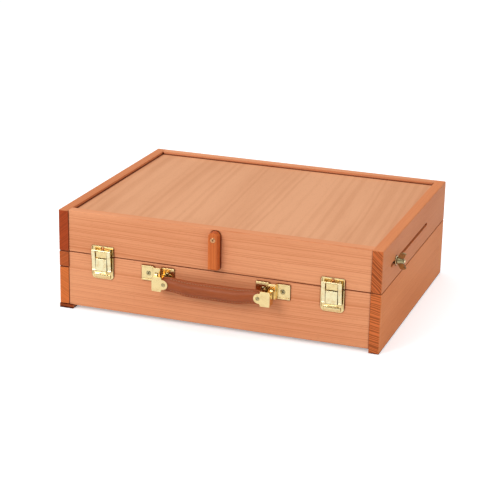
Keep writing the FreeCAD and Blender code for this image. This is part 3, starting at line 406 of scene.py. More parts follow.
# Grain direction: which coordinates lie across the grain, and which along it.
GRAIN = {"x": ("Y", "Z", "X"), "y": ("Z", "X", "Y"), "z": ("X", "Y", "Z")}

# The wood's noises: waves in a metre along each axis of the stem, of which the third is the grain.
DRIFT = (9.0, 9.0, 1.3)
RIPPLE = (60.0, 60.0, 14.0)
FIBRES = (1500.0, 1500.0, 28.0)
FLECKS = (1100.0, 1100.0, 190.0)
CLOUDS = (16.0, 16.0, 3.5)
# How far the rings stray from round, in metres.
DRIFT_REACH = 0.018
RIPPLE_REACH = 0.0022
# How fast wide and narrow years follow each other, and how many rings they shift.
YEARS_PACE = 0.45
YEARS_SHIFT = 2.4
# Spans: the part of a year's wave that is dark, on the long grain and on the ends, the contrast of
# narrow and wide years, and where a fleck starts and is full.
DARK_BAND = (-0.5, 1.0)
DARK_STRIPE = (-0.7, 0.9)
YEARS_CONTRAST = (0.25, 0.75, 0.35, 1.0)
FLECK_EDGE = (0.60, 0.74)
# Spans: what clouds and fibres add to the tone, which is 0 for pale and 1 for deep wood.
CLOUD_TONE = (0.3, 0.7, -0.10, 0.34)
FIBRE_TONE = (0.3, 0.7, -0.08, 0.14)
# How strongly rings and flecks show on the long grain, and light and dark stripes on the ends.
RING_STRENGTH = 0.55
FLECK_STRENGTH = 0.22
END_LIGHT = 0.22
END_DARK = 0.28
# Part of the grain's direction in a face's normal, from long grain to sawn end.
LONG_GRAIN, SAWN_END = 0.62, 0.90
# The painted shade in the seams between the boards: how far it reaches, and its colour.
SEAM_REACH = 3.0 * MM
SEAM_SHADE = (0.19, 0.05, 0.015, 1.0)


def strayed(f, stem, waves, detail, reach):
    """An offset across the grain that wanders through the stem."""
    offset = f.noise(stem, waves, detail, roughness=0.5, output="Color")
    offset = f.vector("SUBTRACT", offset, (0.5, 0.5, 0.5))
    return f.vector("MULTIPLY", offset, (reach, reach, 0.0))


def wood(name, grain, pith, pale, deep, end, ring, slant=0.0, figure=1.0, stripes=1.0, wave=1.0,
         rough=0.45, shine=0.05, painted_seam_shade=0.55):
    """Solid wood: growth rings about a pith, fibres, beech flecks, darker sawn ends and painted shade in
    the seams.
    """
    f = Finish(name, **{"Specular IOR Level": shine})
    apart = f.add("SeparateXYZ", {"Vector": f.place["Object"]}).outputs
    across = [apart[letter] for letter in GRAIN[grain]]
    stem = f.add("CombineXYZ", dict(enumerate(across))).outputs[0]
    sockets = {"Vector": stem, "Location": (-pith[0], -pith[1], 0.0), "Rotation": (slant, 0.0, 0.0)}
    stem = f.add("Mapping", sockets).outputs[0]

    drift = strayed(f, stem, DRIFT, 1.0, DRIFT_REACH * wave)
    ripple = strayed(f, stem, RIPPLE, 2.0, RIPPLE_REACH * wave)
    stem = f.vector("ADD", f.vector("ADD", stem, drift), ripple)

    radius = f.vector("LENGTH", f.vector("MULTIPLY", stem, (1.0, 1.0, 0.0)))
    count = f.math("DIVIDE", radius, ring)
    sockets = {"W": count, "Scale": YEARS_PACE, "Detail": 1.0, "Roughness": 0.5}
    years = f.add("TexNoise", sockets, noise_dimensions="1D").outputs["Fac"]
    turn = f.math("MULTIPLY_ADD", years, YEARS_SHIFT, count)
    bands = f.math("SINE", f.math("MULTIPLY", turn, 2 * math.pi))
    rings = f.math("MULTIPLY", f.span(bands, *DARK_BAND), f.span(years, *YEARS_CONTRAST))
    fibres = f.noise(stem, FIBRES, detail=3.0, roughness=0.65)
    flecks = f.span(f.noise(stem, FLECKS, detail=1.0, roughness=0.5), *FLECK_EDGE)
    clouds = f.noise(stem, CLOUDS, detail=2.0, roughness=0.5)

    tone = f.math("MULTIPLY_ADD", rings, RING_STRENGTH * figure, f.span(clouds, *CLOUD_TONE))
    tone = f.math("ADD", tone, f.span(fibres, *FIBRE_TONE), clamp=True)
    face = f.mix(tone, rgba(pale), rgba(deep))
    face = f.mix(f.math("MULTIPLY", flecks, FLECK_STRENGTH), face, rgba(deep, 0.75))
    light = rgba(end, 1.0 + END_LIGHT * stripes)
    dark = rgba(end, 1.0 - END_DARK * stripes)
    sawn = f.mix(f.span(bands, *DARK_STRIPE), light, dark)
    normal = f.add("SeparateXYZ", {"Vector": f.place["Normal"]}).outputs
    facing = f.math("ABSOLUTE", normal[GRAIN[grain][2]])
    seen = f.mix(f.span(facing, LONG_GRAIN, SAWN_END), face, sawn)

    relief = f.math("MULTIPLY_ADD", fibres, 0.6, f.math("MULTIPLY", rings, -0.5))
    # Painted shade: the colour darkens towards SEAM_SHADE where ambient occlusion finds a seam or gap
    # between boards.
    hidden = f.hidden(SEAM_REACH, painted_seam_shade)
    f.set(f.shader, {
        "Base Color": f.mix(hidden, seen, SEAM_SHADE, "MULTIPLY"),
        "Roughness": f.span(tone, 0.0, 1.0, rough, rough + 0.12),
        "Normal": f.bump(relief, strength=0.22, distance=0.0002),
    })
    return f.material


# The brass's noises in waves to a metre: wear, hairline scratches and the plate's unevenness.
WEAR = (190.0, 190.0, 190.0)
HAIRLINES = (420.0, 420.0, 5200.0)
SWELL = (70.0, 70.0, 70.0)
# Spans: how much worn plating shows for the wear, and how rough that makes it.
WEAR_SHOWS = (0.42, 0.74, 0.0, 0.75)
WEAR_ROUGH = (0.3, 0.8, 0.14, 0.26)
# The painted shade and tarnish in its nooks: how far they reach, how much of them shows, and the shade's
# colour.
NOOK_REACH = 1.8 * MM
NOOK_SHARE = 0.92
NOOK_SHADE = (0.26, 0.13, 0.05, 1.0)


def brass(name, shine, worn):
    """Polished plated brass: clouds of wear, hairline scratches, uneven sheet, and nooks darkened by
    painted shade and roughened by tarnish.
    """
    f = Finish(name, **{"Metallic": 1.0})
    place = f.place["Object"]
    wear = f.noise(place, WEAR, detail=4.0, roughness=0.6)
    hairlines = f.noise(place, HAIRLINES, detail=2.0, roughness=0.5)
    swell = f.noise(place, SWELL, detail=1.0, roughness=0.4)
    plating = f.mix(f.span(wear, *WEAR_SHOWS), rgba(shine), rgba(worn))
    # Painted shade: the plating darkens, and roughens like tarnish, where ambient occlusion finds a nook.
    hidden = f.math("MULTIPLY", f.hidden(NOOK_REACH), NOOK_SHARE)
    relief = f.math("MULTIPLY_ADD", swell, 8.0, f.math("MULTIPLY_ADD", hairlines, 0.3, wear))
    f.set(f.shader, {
        "Base Color": f.mix(hidden, plating, NOOK_SHADE, "MULTIPLY"),
        "Roughness": f.math("MULTIPLY_ADD", hidden, 0.4, f.span(wear, *WEAR_ROUGH)),
        "Normal": f.bump(relief, strength=0.05, distance=0.0002),
    })
    return f.material


# The leather's grain: cells in a metre, and the waves of its creases and pores.
LEATHER_CELLS = 900.0
CREASES = (40.0, 90.0, 90.0)
PORES = (2600.0, 2600.0, 2600.0)
# Spans: the groove between two cells, how dark the creases are, and how rough.
CELL_GROOVE = (0.0, 0.09)
CREASE_TONE = (0.35, 0.75, 0.0, 0.45)
CREASE_ROUGH = (0.3, 0.8, 0.36, 0.52)


def leather(name, body, crease):
    """Smooth waxed leather with fine pores and darker creases."""
    f = Finish(name, **{"Specular IOR Level": 0.3, "Coat Weight": 0.05, "Coat Roughness": 0.35})
    place = f.place["Object"]
    sockets = {"Vector": place, "Scale": LEATHER_CELLS}
    cells = f.add("TexVoronoi", sockets, feature="DISTANCE_TO_EDGE").outputs["Distance"]
    cells = f.span(cells, *CELL_GROOVE)
    creases = f.noise(place, CREASES, detail=4.0, roughness=0.6)
    pores = f.noise(place, PORES, detail=2.0, roughness=0.5)
    worn = f.math("MULTIPLY", cells, -0.18)
    share = f.math("ADD", f.span(creases, *CREASE_TONE), worn, clamp=True)
    relief = f.math("MULTIPLY_ADD", pores, 0.3, cells)
    f.set(f.shader, {
        "Base Color": f.mix(share, rgba(body), rgba(crease)),
        "Roughness": f.span(creases, *CREASE_ROUGH),
        "Normal": f.bump(relief, strength=0.25, distance=0.00025),
    })
    return f.material


def yarn(name, strand):
    """Waxed yarn with a twist along each stitch."""
    f = Finish(name, **{"Sheen Weight": 0.3, "Sheen Roughness": 0.4})
    sockets = {"Vector": f.place["Object"], "Scale": 900.0, "Distortion": 1.0}
    strands = f.add("TexWave", sockets, bands_direction="DIAGONAL").outputs["Fac"]
    f.set(f.shader, {
        "Base Color": f.mix(strands, rgba(strand, 0.7), rgba(strand, 1.1)),
        "Roughness": f.span(strands, 0.0, 1.0, 0.5, 0.65),
        "Normal": f.bump(strands, strength=0.4, distance=0.0002),
    })
    return f.material


def dress(obj, material):
    """Gives every face of a piece or CAD node one finish."""
    if not obj.data.materials:
        obj.data.materials.append(material)
    for slot in obj.material_slots:
        slot.material = material


# Each board's grain, its pith across the grain in metres, its slant, how strong its figure and its
# end stripes are, its end grain's tint and its face's tint, some of which are painted shade. The boards
# inside share all but two.
PLAIN = (1.0, 1.0, 1.0)
INSIDE = (0.0, 0.7, 1.0, PLAIN, PLAIN)
BEECH = {
    "base_front_board": ("x", (-0.31, -0.40), 0.006, 1.3, 1.0, PLAIN, PLAIN),
    "base_back_board": ("x", (0.32, -0.38), -0.005, 1.0, 1.0, PLAIN, PLAIN),
    # Its face's tint is painted shade on the box's right side.
    "base_right_board": ("y", (-0.31, 0.125), 0.004, 0.35, 1.2, (1.15, 1.20, 1.18), (1.05, 0.86, 0.61)),
    "base_left_rail": ("y", (0.46, -0.47), 0.0, 0.8, 0.4, (1.0, 0.92, 0.90), PLAIN),
    # Its end grain's tint is painted shade on the runner's front.
    "base_left_runner": ("y", (-0.35, -0.46), 0.0, 0.8, 0.4, (0.60, 0.50, 0.45), PLAIN),
    "drawer_front": ("y", (-0.39, -0.43), 0.004, 0.8, 0.35, (1.40, 1.50, 1.35), PLAIN),
    "drawer_front_side": ("x", (-0.29, -0.21), *INSIDE),
    "drawer_back_side": ("x", (0.32, -0.29), *INSIDE),
    "drawer_inner_end": ("y", (-0.28, 0.32), *INSIDE),
    "drawer_long_divider": ("x", (0.21, -0.29), *INSIDE),
    "drawer_cross_dividers": ("y", (-0.29, 0.22), *INSIDE),
    "tray_dividers": ("x", (0.29, -0.26), *INSIDE),
    "lid_front_board": ("x", (-0.33, 0.53), -0.008, 1.3, 1.0, PLAIN, PLAIN),
    "lid_back_board": ("x", (0.33, 0.50), 0.006, 1.0, 1.0, PLAIN, PLAIN),
    # Its face's tint is painted shade on the box's right side.
    "lid_right_board": ("y", (-0.20, -0.10), -0.005, 0.35, 1.3, PLAIN, (0.90, 0.75, 0.61)),
    "lid_left_board": ("y", (0.43, -0.49), 0.0, 0.6, 0.35, (0.80, 0.52, 0.50), (0.88, 0.76, 0.66)),
    "mast_guides": ("y", (0.26, 0.24), *INSIDE),
    "mast_bar": ("y", (0.28, 0.23), *INSIDE),
}
# The boards at the left end, around the drawer, with wider gaps between them and more painted shade in
# those gaps.
LOOSE_BOARDS = ("base_left_rail", "base_left_runner", "drawer_front")
# Each panel's grain, its pith across the grain in metres and its slant.
PLYWOOD = {
    "lid_panel": ("y", (-0.30, -0.60), -0.06),
    "base_bottom_panel": ("y", (-0.50, 0.06), 0.0),
    "compartment_floor": ("x", (0.06, -0.40), 0.0),
    "drawer_bottom": ("x", (-0.04, -0.35), 0.0),
}
# Distances between rings in the peeled veneer and in the mast's oiled wood, as shares of the beech's.
VENEER_RINGS = 4.2
MAST_RINGS = 0.6
MAST_PITH = (0.06, -0.24)


# --- Shapes that repeat ------------------------------------------------------------------
# A screw's raised head as shares of its radius and of its dome's height.
DOME = ((0.20, 1.0), (0.55, 0.86), (0.84, 0.5), (0.97, 0.12))
# The cross recess as shares of the head's radius: each slot's size, how far its middle lies under
# the dome's top, and the part of its size that is left at its floor.
SLOT_SIZE = (1.14, 0.24, 0.72)
SLOT_DROP = 0.16
SLOT_FLOOR = 0.45
# The shares of a screw's length and radius that make its tip, its rim and its edges' rounding.
TIP_START = 0.94
TIP_RADIUS = 0.45
SCREW_EDGE = 0.05 * MM
# For each set of screws, the shank as a share of the head, and the dome's height.
MAST_SCREW = (0.53, 0.5 * MM)
BRACKET_SCREW = (0.47, 0.45 * MM)
HINGE_SCREW = (0.5, 0.3 * MM)
# The bracket screws' own head radius and length.
BRACKET_SIZE = (3.2 * MM, 11 * MM)
# How the slots of screws in a row are turned, in degrees: the first one, and each further one.
FIRST_TURN, NEXT_TURN = 37, 71


def cross_screw(name, head, shank, length, dome, finish):
    """A countersunk screw with a raised head and a cross recess, standing at the origin along -Z."""
    profile = [(head * radius, dome * height) for radius, height in DOME]
    profile += [
        (head, -SCREW_EDGE), (shank, shank - head), (shank, -length * TIP_START),
        (shank * TIP_RADIUS, -length),
    ]
    piece = turned(name, profile, (0, 0, 0), (0, 0, 1), segments=28)
    for turn in (0.0, math.pi / 2):
        bpy.ops.mesh.primitive_cube_add(size=1.0, location=(0, 0, dome - head * SLOT_DROP))
        bit = made()
        bit.scale = [head * share for share in SLOT_SIZE]
        bit.rotation_euler = (0, 0, turn)
        settle(bit)
        mesh = editing(bit, "FACE")
        low = min(mesh.faces, key=lambda face: face.calc_center_median().z)
        low.select = True
        place = (0, 0, low.calc_center_median().z)
        bpy.ops.transform.resize(value=(SLOT_FLOOR, SLOT_FLOOR, 1), center_override=place)
        close_edit()
        modified(piece, "BOOLEAN", operation="DIFFERENCE", solver="EXACT", object=bit)
        bpy.data.objects.remove(bit)
    sharp = math.radians(50)
    modified(piece, "BEVEL", width=SCREW_EDGE, segments=1, limit_method="ANGLE", angle_limit=sharp)
    dress(piece, finish)
    return smooth(piece, angle=30)


def set_of_screws(node, name, outward, shares, finish, size=None):
    """Cross-headed screws where a CAD node has screws, as large as those if no size is given."""
    places = solids(node)
    low, high = places[0]
    head, length = size or ((high.x - low.x) / 2, high.y - low.y)
    shank, dome = shares
    model = cross_screw("screw", head, head * shank, length, dome, finish)
    aim = Vector((0, 0, 1)).rotation_difference(outward).to_matrix().to_4x4()
    copies = []
    for number, (low, high) in enumerate(places):
        middle = (low + high) / 2
        middle.y = low.y if outward.y < 0 else high.y
        turn = Matrix.Rotation(math.radians(FIRST_TURN + NEXT_TURN * number), 4, "Z")
        copies.append(copied(model, Matrix.Translation(middle) @ aim @ turn))
    bpy.data.objects.remove(model)
    return stands_for(joined(copies, name), node)


def spun_set(node, name, profile, finish, angle):
    """Pieces spun along Y where a CAD node has them, from profile(radius, length), as one piece."""
    parts = []
    for low, high in solids(node):
        middle = (low + high) / 2
        start = Vector((middle.x, low.y, middle.z))
        points = profile((high.x - low.x) / 2, high.y - low.y)
        parts.append(turned("spun", points, start, BACK, segments=24))
    piece = joined(parts, name)
    dress(piece, finish)
    return stands_for(smooth(piece, angle), node)


# --- Operators ---------------------------------------------------------------------------
# The point that the camera aims at, and the width in millimetres of the sensor behind its lens.
AIM = Vector((-15.8 * MM, 18.9 * MM, 48.3 * MM))
SENSOR = 36.0
# The floor's size, its gap under the box, its glow for the camera and the waves of its paper.
FLOOR_SIZE = 60.0
FLOOR_GAP = 0.05 * MM
FLOOR_GLOW = 0.37
PAPER = (300.0, 300.0, 300.0)
# Each lamp's name, place, width, power and tint, and the point that they all aim at.
LAMPS = (
    ("key_light", (-1.5, -2.3, 1.9), 1.7, 50.0, (1.0, 0.985, 0.96)),
    ("fill_light", (2.2, -1.6, 1.2), 1.6, 11.0, (1.0, 0.99, 0.98)),
    ("top_light", (0.1, 0.6, 2.6), 2.4, 22.0, (1.0, 1.0, 1.0)),
)
LAMPS_AIM = Vector((0, 0, 0.06))
# The light of the room around the stage: shades of grey at heights between horizon and zenith.
ROOM = ((0.02, 0.16), (0.30, 0.34), (0.75, 0.62))


class SKETCHBOX_OT_stage(bpy.types.Operator):
    """Makes the floor, the soft studio light and the camera"""
    bl_idname = "sketchbox.stage"
    bl_label = "Stage"

    def execute(self, context):
        settings = context.scene.sketch_stage
        self.floor(settings)
        self.lamps(context.scene)
        self.room(context.scene)
        self.camera(context.scene, settings)
        return {"FINISHED"}

    def floor(self, settings):
        """A wide sheet of paper that looks white from the camera."""
        bpy.ops.mesh.primitive_plane_add(size=FLOOR_SIZE, location=(0, 0, -FLOOR_GAP))
        floor = named(made(), "floor")
        settle(floor)
        f = Finish("floor_paper", **{"Roughness": 0.9, "Specular IOR Level": 0.1})
        grain = f.noise(f.place["Object"], PAPER, detail=3.0, roughness=0.6)
        seen = f.add("LightPath").outputs["Is Camera Ray"]
        f.set(f.shader, {
            "Base Color": f.mix(grain, rgba(settings.floor), rgba(settings.floor, 1.01)),
            "Emission Color": (1.0, 1.0, 1.0, 1.0),
            "Emission Strength": f.math("MULTIPLY", seen, FLOOR_GLOW),
        })
        dress(floor, f.material)

    def lamps(self, scene):
        """Large soft lamps that all point at the box."""
        for name, place, width, power, tint in LAMPS:
            data = bpy.data.lights.new(name, "AREA")
            data.size = width
            data.energy = power
            data.color = tint
            lamp = bpy.data.objects.new(name, data)
            scene.collection.objects.link(lamp)
            lamp.location = place
            lamp.rotation_euler = (LAMPS_AIM - Vector(place)).to_track_quat("-Z", "Y").to_euler()

    def room(self, scene):
        """Soft grey light from all around, which the camera sees as white."""
        scene.view_settings.view_transform = "Standard"
        world = bpy.data.worlds.new("studio")
        scene.world = world
        world.use_nodes = True
        nodes = Nodes(world.node_tree)
        apart = nodes.add("SeparateXYZ", {0: nodes.place["Generated"]}).outputs
        ramp = nodes.add("ValToRGB", {0: apart["Z"]})
        stops = ramp.color_ramp.elements
        for number, (height, shade) in enumerate(ROOM):
            stop = stops[number] if number < len(stops) else stops.new(height)
            stop.position = height
            stop.color = (shade, shade, shade, 1)
        seen = nodes.add("LightPath").outputs["Is Camera Ray"]
        white = nodes.mix(seen, ramp.outputs["Color"], (1.0, 1.0, 1.0, 1.0))
        nodes.set(nodes.tree.nodes["Background"], {"Color": white})

    def camera(self, scene, settings):
        """The camera, turned about the point that it aims at."""
        across, up = settings.azimuth, settings.elevation
        flat = math.cos(up)
        away = Vector((math.sin(across) * flat, -math.cos(across) * flat, math.sin(up)))
        data = bpy.data.cameras.new("camera")
        data.lens = settings.lens
        data.sensor_width = SENSOR
        camera = bpy.data.objects.new("camera", data)
        scene.collection.objects.link(camera)
        camera.location = AIM + away * settings.distance
        camera.rotation_mode = "QUATERNION"
        roll = Quaternion((0, 0, 1), settings.roll)
        camera.rotation_quaternion = (-away).to_track_quat("-Z", "Y") @ roll
        scene.camera = camera


class SKETCHBOX_OT_boards(bpy.types.Operator):
    """Finishes the solid beech boards and the veneered panels"""
    bl_idname = "sketchbox.boards"
    bl_label = "Boards and Panels"

    def execute(self, context):
        tones = context.scene.sketch_wood
        for node, (grain, pith, slant, figure, stripes, end_tint_and_shade, face_tint_and_shade) in BEECH.items():
            # Some tints darken a board as painted shade.
            pale = tinted(tones.pale, face_tint_and_shade)
            deep = tinted(tones.deep, face_tint_and_shade)
            end = tinted(tones.end, end_tint_and_shade)
            # Painted shade in the seams, stronger in the gaps around the drawer.
            painted_seam_shade = tones.loose_painted_seam_shade if node in LOOSE_BOARDS else tones.painted_seam_shade
            finish = wood(
                "beech_" + node, grain, pith, pale, deep, end, tones.ring, slant, figure, stripes,
                painted_seam_shade=painted_seam_shade)
            dress(frame["nodes"][node], finish)
        for node, (grain, pith, slant) in PLYWOOD.items():
            finish = wood(
                "veneer_" + node, grain, pith, tones.ply_pale, tones.ply_deep, tones.ply_deep,
                tones.ring * VENEER_RINGS, slant, figure=0.65, wave=1.4, shine=0.14)
            dress(frame["nodes"][node], finish)
        return {"FINISHED"}


class SKETCHBOX_OT_mast(bpy.types.Operator):
    """Rounds the mast's head and drives its coppered screw"""
    bl_idname = "sketchbox.mast"
    bl_label = "Canvas Mast"

    def execute(self, context):
        tones = context.scene.sketch_wood
        finish = wood(
            "mast_wood_oiled", "z", MAST_PITH, tones.mast_pale, tones.mast_deep, tones.mast_deep,
            tones.ring * MAST_RINGS, wave=0.8, rough=0.34, shine=0.14)
        softened("mast_head", tones.edge, finish, name="mast_head_rounded")
        metal = context.scene.sketch_metal
        copper = brass("coppered_steel", metal.copper, metal.copper_worn)
        set_of_screws("mast_screw", "mast_cross_screw", FRONT, MAST_SCREW, copper)
        return {"FINISHED"}


# The upper half of the grip's section, from its top edge down, as shares of half its thickness and
# half its height: a rolled edge, the groove for the stitches, and the padded side.
GRIP_SECTION = (
    (0.00, 1.00), (0.20, 0.985), (0.30, 0.92), (0.32, 0.83), (0.28, 0.765), (0.31, 0.72),
    (0.53, 0.63), (0.77, 0.48), (0.93, 0.30), (1.00, 0.10),
)
# Where the stitches lie in that section, how much they lean in degrees, and how far from the caps
# the row ends.
STITCH_OUT, STITCH_UP = 0.295, 0.77
STITCH_LEAN = 7
STITCH_MARGIN = 2.0 * MM
# The grip keeps its full size up to here from its middle. It tapers from there until just inside
# the caps, in so many steps, and one more step on each side keeps its end straight.
GRIP_FULL = 30.0 * MM
GRIP_IN_CAP = 1.0 * MM
GRIP_STEPS = 16
GRIP_END_STEP = 1.5 * MM


class SKETCHBOX_OT_grip(bpy.types.Operator):
    """Sews the padded leather grip of the handle"""
    bl_idname = "sketchbox.grip"
    bl_label = "Leather Grip"

    def execute(self, context):
        settings = context.scene.sketch_grip
        low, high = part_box("handle_grip")
        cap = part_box("handle_cap_right")
        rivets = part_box("handle_rivets")
        self.middle = (low + high) / 2
        self.half_thick = (high.y - low.y) / 2
        self.belly = settings.belly / 2
        self.neck = settings.neck / 2
        self.cheek = settings.cheek / 2
        self.end = high.x
        self.taper_end = cap[0].x - GRIP_IN_CAP
        self.belly_level = low.z + self.belly
        self.neck_level = (rivets[0].z + rivets[1].z) / 2
        grip = self.body()
        dress(grip, leather("grip_leather", settings.leather, settings.crease))
        stands_for(grip, "handle_grip")
        stitches = self.stitches(settings)
        dress(stitches, yarn("grip_yarn", settings.yarn))
        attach(stitches, "handle")
        return {"FINISHED"}

    def half_sizes(self, x):
        """Half the thickness, half the height and the middle's level at a place along the grip."""
        run = (abs(x) - GRIP_FULL) / (self.taper_end - GRIP_FULL)
        run = min(max(run, 0.0), 1.0)
        full = 1.0 - run * run * (3 - 2 * run)
        return (
            self.cheek + (self.half_thick - self.cheek) * full,
            self.neck + (self.belly - self.neck) * full,
            self.neck_level + (self.belly_level - self.neck_level) * full,
        )

    def body(self):
        """The leather body: one section extruded from station to station, and subdivided."""
        right = list(GRIP_SECTION) + [(thick, -height) for thick, height in reversed(GRIP_SECTION)]
        left = [(-thick, height) for thick, height in reversed(right[1:-1])]
        outline = right + left
        bpy.ops.mesh.primitive_circle_add(vertices=len(outline), radius=1.0, fill_type="NGON")
        grip = named(made(), "leather_grip")
        reach = self.taper_end
        stations = [-self.end, -reach - GRIP_END_STEP, -reach]
        stations += [-reach + (2 * reach) * step / GRIP_STEPS for step in range(1, GRIP_STEPS)]
        stations += [reach, reach + GRIP_END_STEP, self.end]
        mesh = editing(grip, "FACE")
        mesh.verts.ensure_lookup_table()
        wide, tall, level = self.half_sizes(stations[0])
        for vert, (thick, height) in zip(mesh.verts, outline):
            vert.co = (stations[0], self.middle.y - thick * wide, level + height * tall)
        bpy.ops.mesh.select_all(action="SELECT")
        for before, after in zip(stations, stations[1:]):
            wide_now, tall_now, level_now = self.half_sizes(after)
            step = (after - before, 0, level_now - level)
            bpy.ops.mesh.extrude_region_move(TRANSFORM_OT_translate={"value": step})
            place = (after, self.middle.y, level_now)
            bpy.ops.transform.resize(value=(1, wide_now / wide, tall_now / tall), center_override=place)
            wide, tall, level = wide_now, tall_now, level_now
        close_edit()
        modified(grip, "SUBSURF", levels=1, render_levels=1)
        return smooth(grip, angle=60)

    def stitches(self, settings):
        """Rows of stitches in the grooves along both edges, on both faces."""
        bpy.ops.mesh.primitive_uv_sphere_add(segments=8, ring_count=6, radius=1.0)
        one = made()
        one.scale = (settings.stitch / 2, settings.yarn_radius, settings.yarn_radius)
        settle(one)
        reach = self.taper_end - STITCH_MARGIN
        count = int(2 * reach / settings.pitch)
        parts = []
        for number in range(count + 1):
            x = -reach + 2 * reach * number / count
            wide, tall, level = self.half_sizes(x)
            _, tall_before, level_before = self.half_sizes(x - settings.pitch / 2)
            _, tall_after, level_after = self.half_sizes(x + settings.pitch / 2)
            for up in (-STITCH_UP, STITCH_UP):
                climb = level_after - level_before + up * (tall_after - tall_before)
                lean = math.radians(STITCH_LEAN) - math.atan2(climb, settings.pitch)
                turn = Matrix.Rotation(lean, 4, "Y")
                for out in (-STITCH_OUT, STITCH_OUT):
                    place = Vector((x, self.middle.y + out * wide, level + up * tall))
                    parts.append(copied(one, Matrix.Translation(place) @ turn))
        bpy.data.objects.remove(one)
        return smooth(joined(parts, "grip_stitches"), angle=80)


# How round the handle's caps are, as a share of the castings' rounding.
CAP_ROUND = 0.75
# A tube rivet's rolled rim and dimple: shares of its radius, and millimetres below its end.
RIVET_END = (
    (0.20, 0.55), (0.42, 0.48), (0.52, 0.10), (0.66, 0.0), (0.84, 0.10), (0.97, 0.42), (1.0, 0.70),
    (0.64, 0.72),
)


class SKETCHBOX_OT_handle_fittings(bpy.types.Operator):
    """Softens the handle's caps, brackets and rivets and adds their screws"""
    bl_idname = "sketchbox.handle_fittings"
    bl_label = "Handle Fittings"

    def execute(self, context):
        metal = context.scene.sketch_metal
        finish = brass("brass_handle", metal.gilt, metal.worn)
        for side in SIDES:
            softened("handle_cap_" + side, metal.cast_round * CAP_ROUND, finish)
            softened("handle_bracket_" + side, metal.sheet_round, finish)
        dull = brass("brass_rivet_dull", metal.cast, metal.tarnish)
        spun_set("handle_rivets", "handle_tube_rivets", self.rivet, dull, angle=50)
        set_of_screws(
            "handle_bracket_screws", "bracket_cross_screws", FRONT, BRACKET_SCREW, dull, BRACKET_SIZE)
        return {"FINISHED"}

    def rivet(self, rim, thick):
        """A tube rivet's profile, with a rolled rim and a dimple on both ends."""
        near = [(rim * radius, drop * MM) for radius, drop in RIVET_END]
        far = [(rim * radius, thick - drop * MM) for radius, drop in reversed(RIVET_END)]
        return near + far


# A nail's domed and rolled head: shares of its radius, and millimetres below the sheet's face.
NAIL_HEAD = (
    (0.15, -0.62), (0.40, -0.55), (0.58, -0.36), (0.66, -0.10), (0.68, 0.0), (0.76, 0.0),
    (0.80, -0.16), (0.95, -0.14), (1.0, 0.0), (0.5, 1.1),
)
# Its shank and tip: shares of its radius and of its length.
NAIL_SHANK = ((0.5, 0.8), (0.12, 1.0))


class SKETCHBOX_OT_catches(bpy.types.Operator):
    """Softens the draw catches and adds their nails"""
    bl_idname = "sketchbox.catches"
    bl_label = "Draw Catches"

    def execute(self, context):
        metal = context.scene.sketch_metal
        finish = brass("brass_catch", metal.brass, metal.worn)
        gilt = brass("brass_catch_plate", metal.gilt, metal.worn)
        for side in SIDES:
            platings = {"plate": gilt, "strike": gilt, "lever": finish, "loop": finish}
            for part, plating in platings.items():
                softened("catch_%s_%s" % (part, side), metal.sheet_round, plating)
            dress(frame["nodes"]["catch_loop_pin_" + side], finish)
        dress(frame["nodes"]["catch_lever_pins"], finish)
        coppered = brass("coppered_nail", metal.copper, metal.copper_worn)
        spun_set("catch_strike_screws", "catch_strike_nails", self.nail, coppered, angle=45)
        spun_set("catch_base_screws", "catch_base_nails", self.nail, finish, angle=45)
        return {"FINISHED"}

    def nail(self, rim, length):
        """A nail's profile."""
        head = [(rim * radius, drop * MM) for radius, drop in NAIL_HEAD]
        return head + [(rim * radius, length * share) for radius, share in NAIL_SHANK]


# The stays' studs: how much thinner the thread is than half the head, its depth, how long the
# threaded run is and where it stops, the head's chamfer and height, and the tip.
THREAD_PLAY = 0.02 * MM
THREAD_DEPTH = 0.28 * MM
THREAD_RUN = 10.6 * MM
THREAD_STOP = 0.5 * MM
STUD_CHAMFER = 0.25 * MM
STUD_HEAD = 1.4 * MM
TIP_SLOPE = 0.2 * MM
TIP_FLAT = 0.05 * MM
# The head's face: shares of its radius at its middle and at its chamfer.
STUD_MIDDLE, STUD_FACE = 0.3, 0.92
# How round the wing nuts are, as a share of the castings' rounding.
NUT_ROUND = 0.6


class SKETCHBOX_OT_stays(bpy.types.Operator):
    """Softens the lid stays and cuts the thread on their studs"""
    bl_idname = "sketchbox.stays"
    bl_label = "Lid Stays"

    def execute(self, context):
        metal = context.scene.sketch_metal
        finish = brass("brass_stay", metal.brass, metal.worn)
        dull = brass("brass_cast_dull", metal.cast, metal.tarnish)
        for side in SIDES:
            for part in ("stay_bar_", "stay_washer_"):
                softened(part + side, metal.sheet_round, finish)
            softened("wing_nut_" + side, metal.cast_round * NUT_ROUND, dull)
            self.stud("stay_stud_" + side, metal.thread, finish)
        softened("stay_pivot_screws", metal.sheet_round, finish)
        return {"FINISHED"}

    def stud(self, node, pitch, finish):
        """A stud with a flat head inside the box and a thread towards its free end."""
        low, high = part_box(node)
        middle = (low + high) / 2
        outward = 1 if middle.x > 0 else -1
        inner = low.x if outward > 0 else high.x
        head = (high.z - low.z) / 2
        shank = head / 2 - THREAD_PLAY
        root = shank - THREAD_DEPTH
        length = high.x - low.x
        plain = length - THREAD_RUN
        profile = [
            (head * STUD_MIDDLE, 0.0), (head * STUD_FACE, 0.0), (head, STUD_CHAMFER),
            (head, STUD_HEAD), (shank, STUD_HEAD), (shank, plain),
        ]
        turns = int((length - plain - THREAD_STOP) / pitch)
        for number in range(turns):
            profile.append((root, plain + (number + 0.5) * pitch))
            profile.append((shank, plain + (number + 1.0) * pitch))
        profile += [(root - TIP_SLOPE, length - TIP_FLAT), (root / 2, length)]
        start = Vector((inner, middle.y, middle.z))
        piece = turned("threaded_" + node, profile, start, X_AXIS * outward, segments=20)
        dress(piece, finish)
        stands_for(smooth(piece, angle=40), node)


# How round the hinges are, as a share of the sheets' rounding.
HINGE_ROUND = 0.8


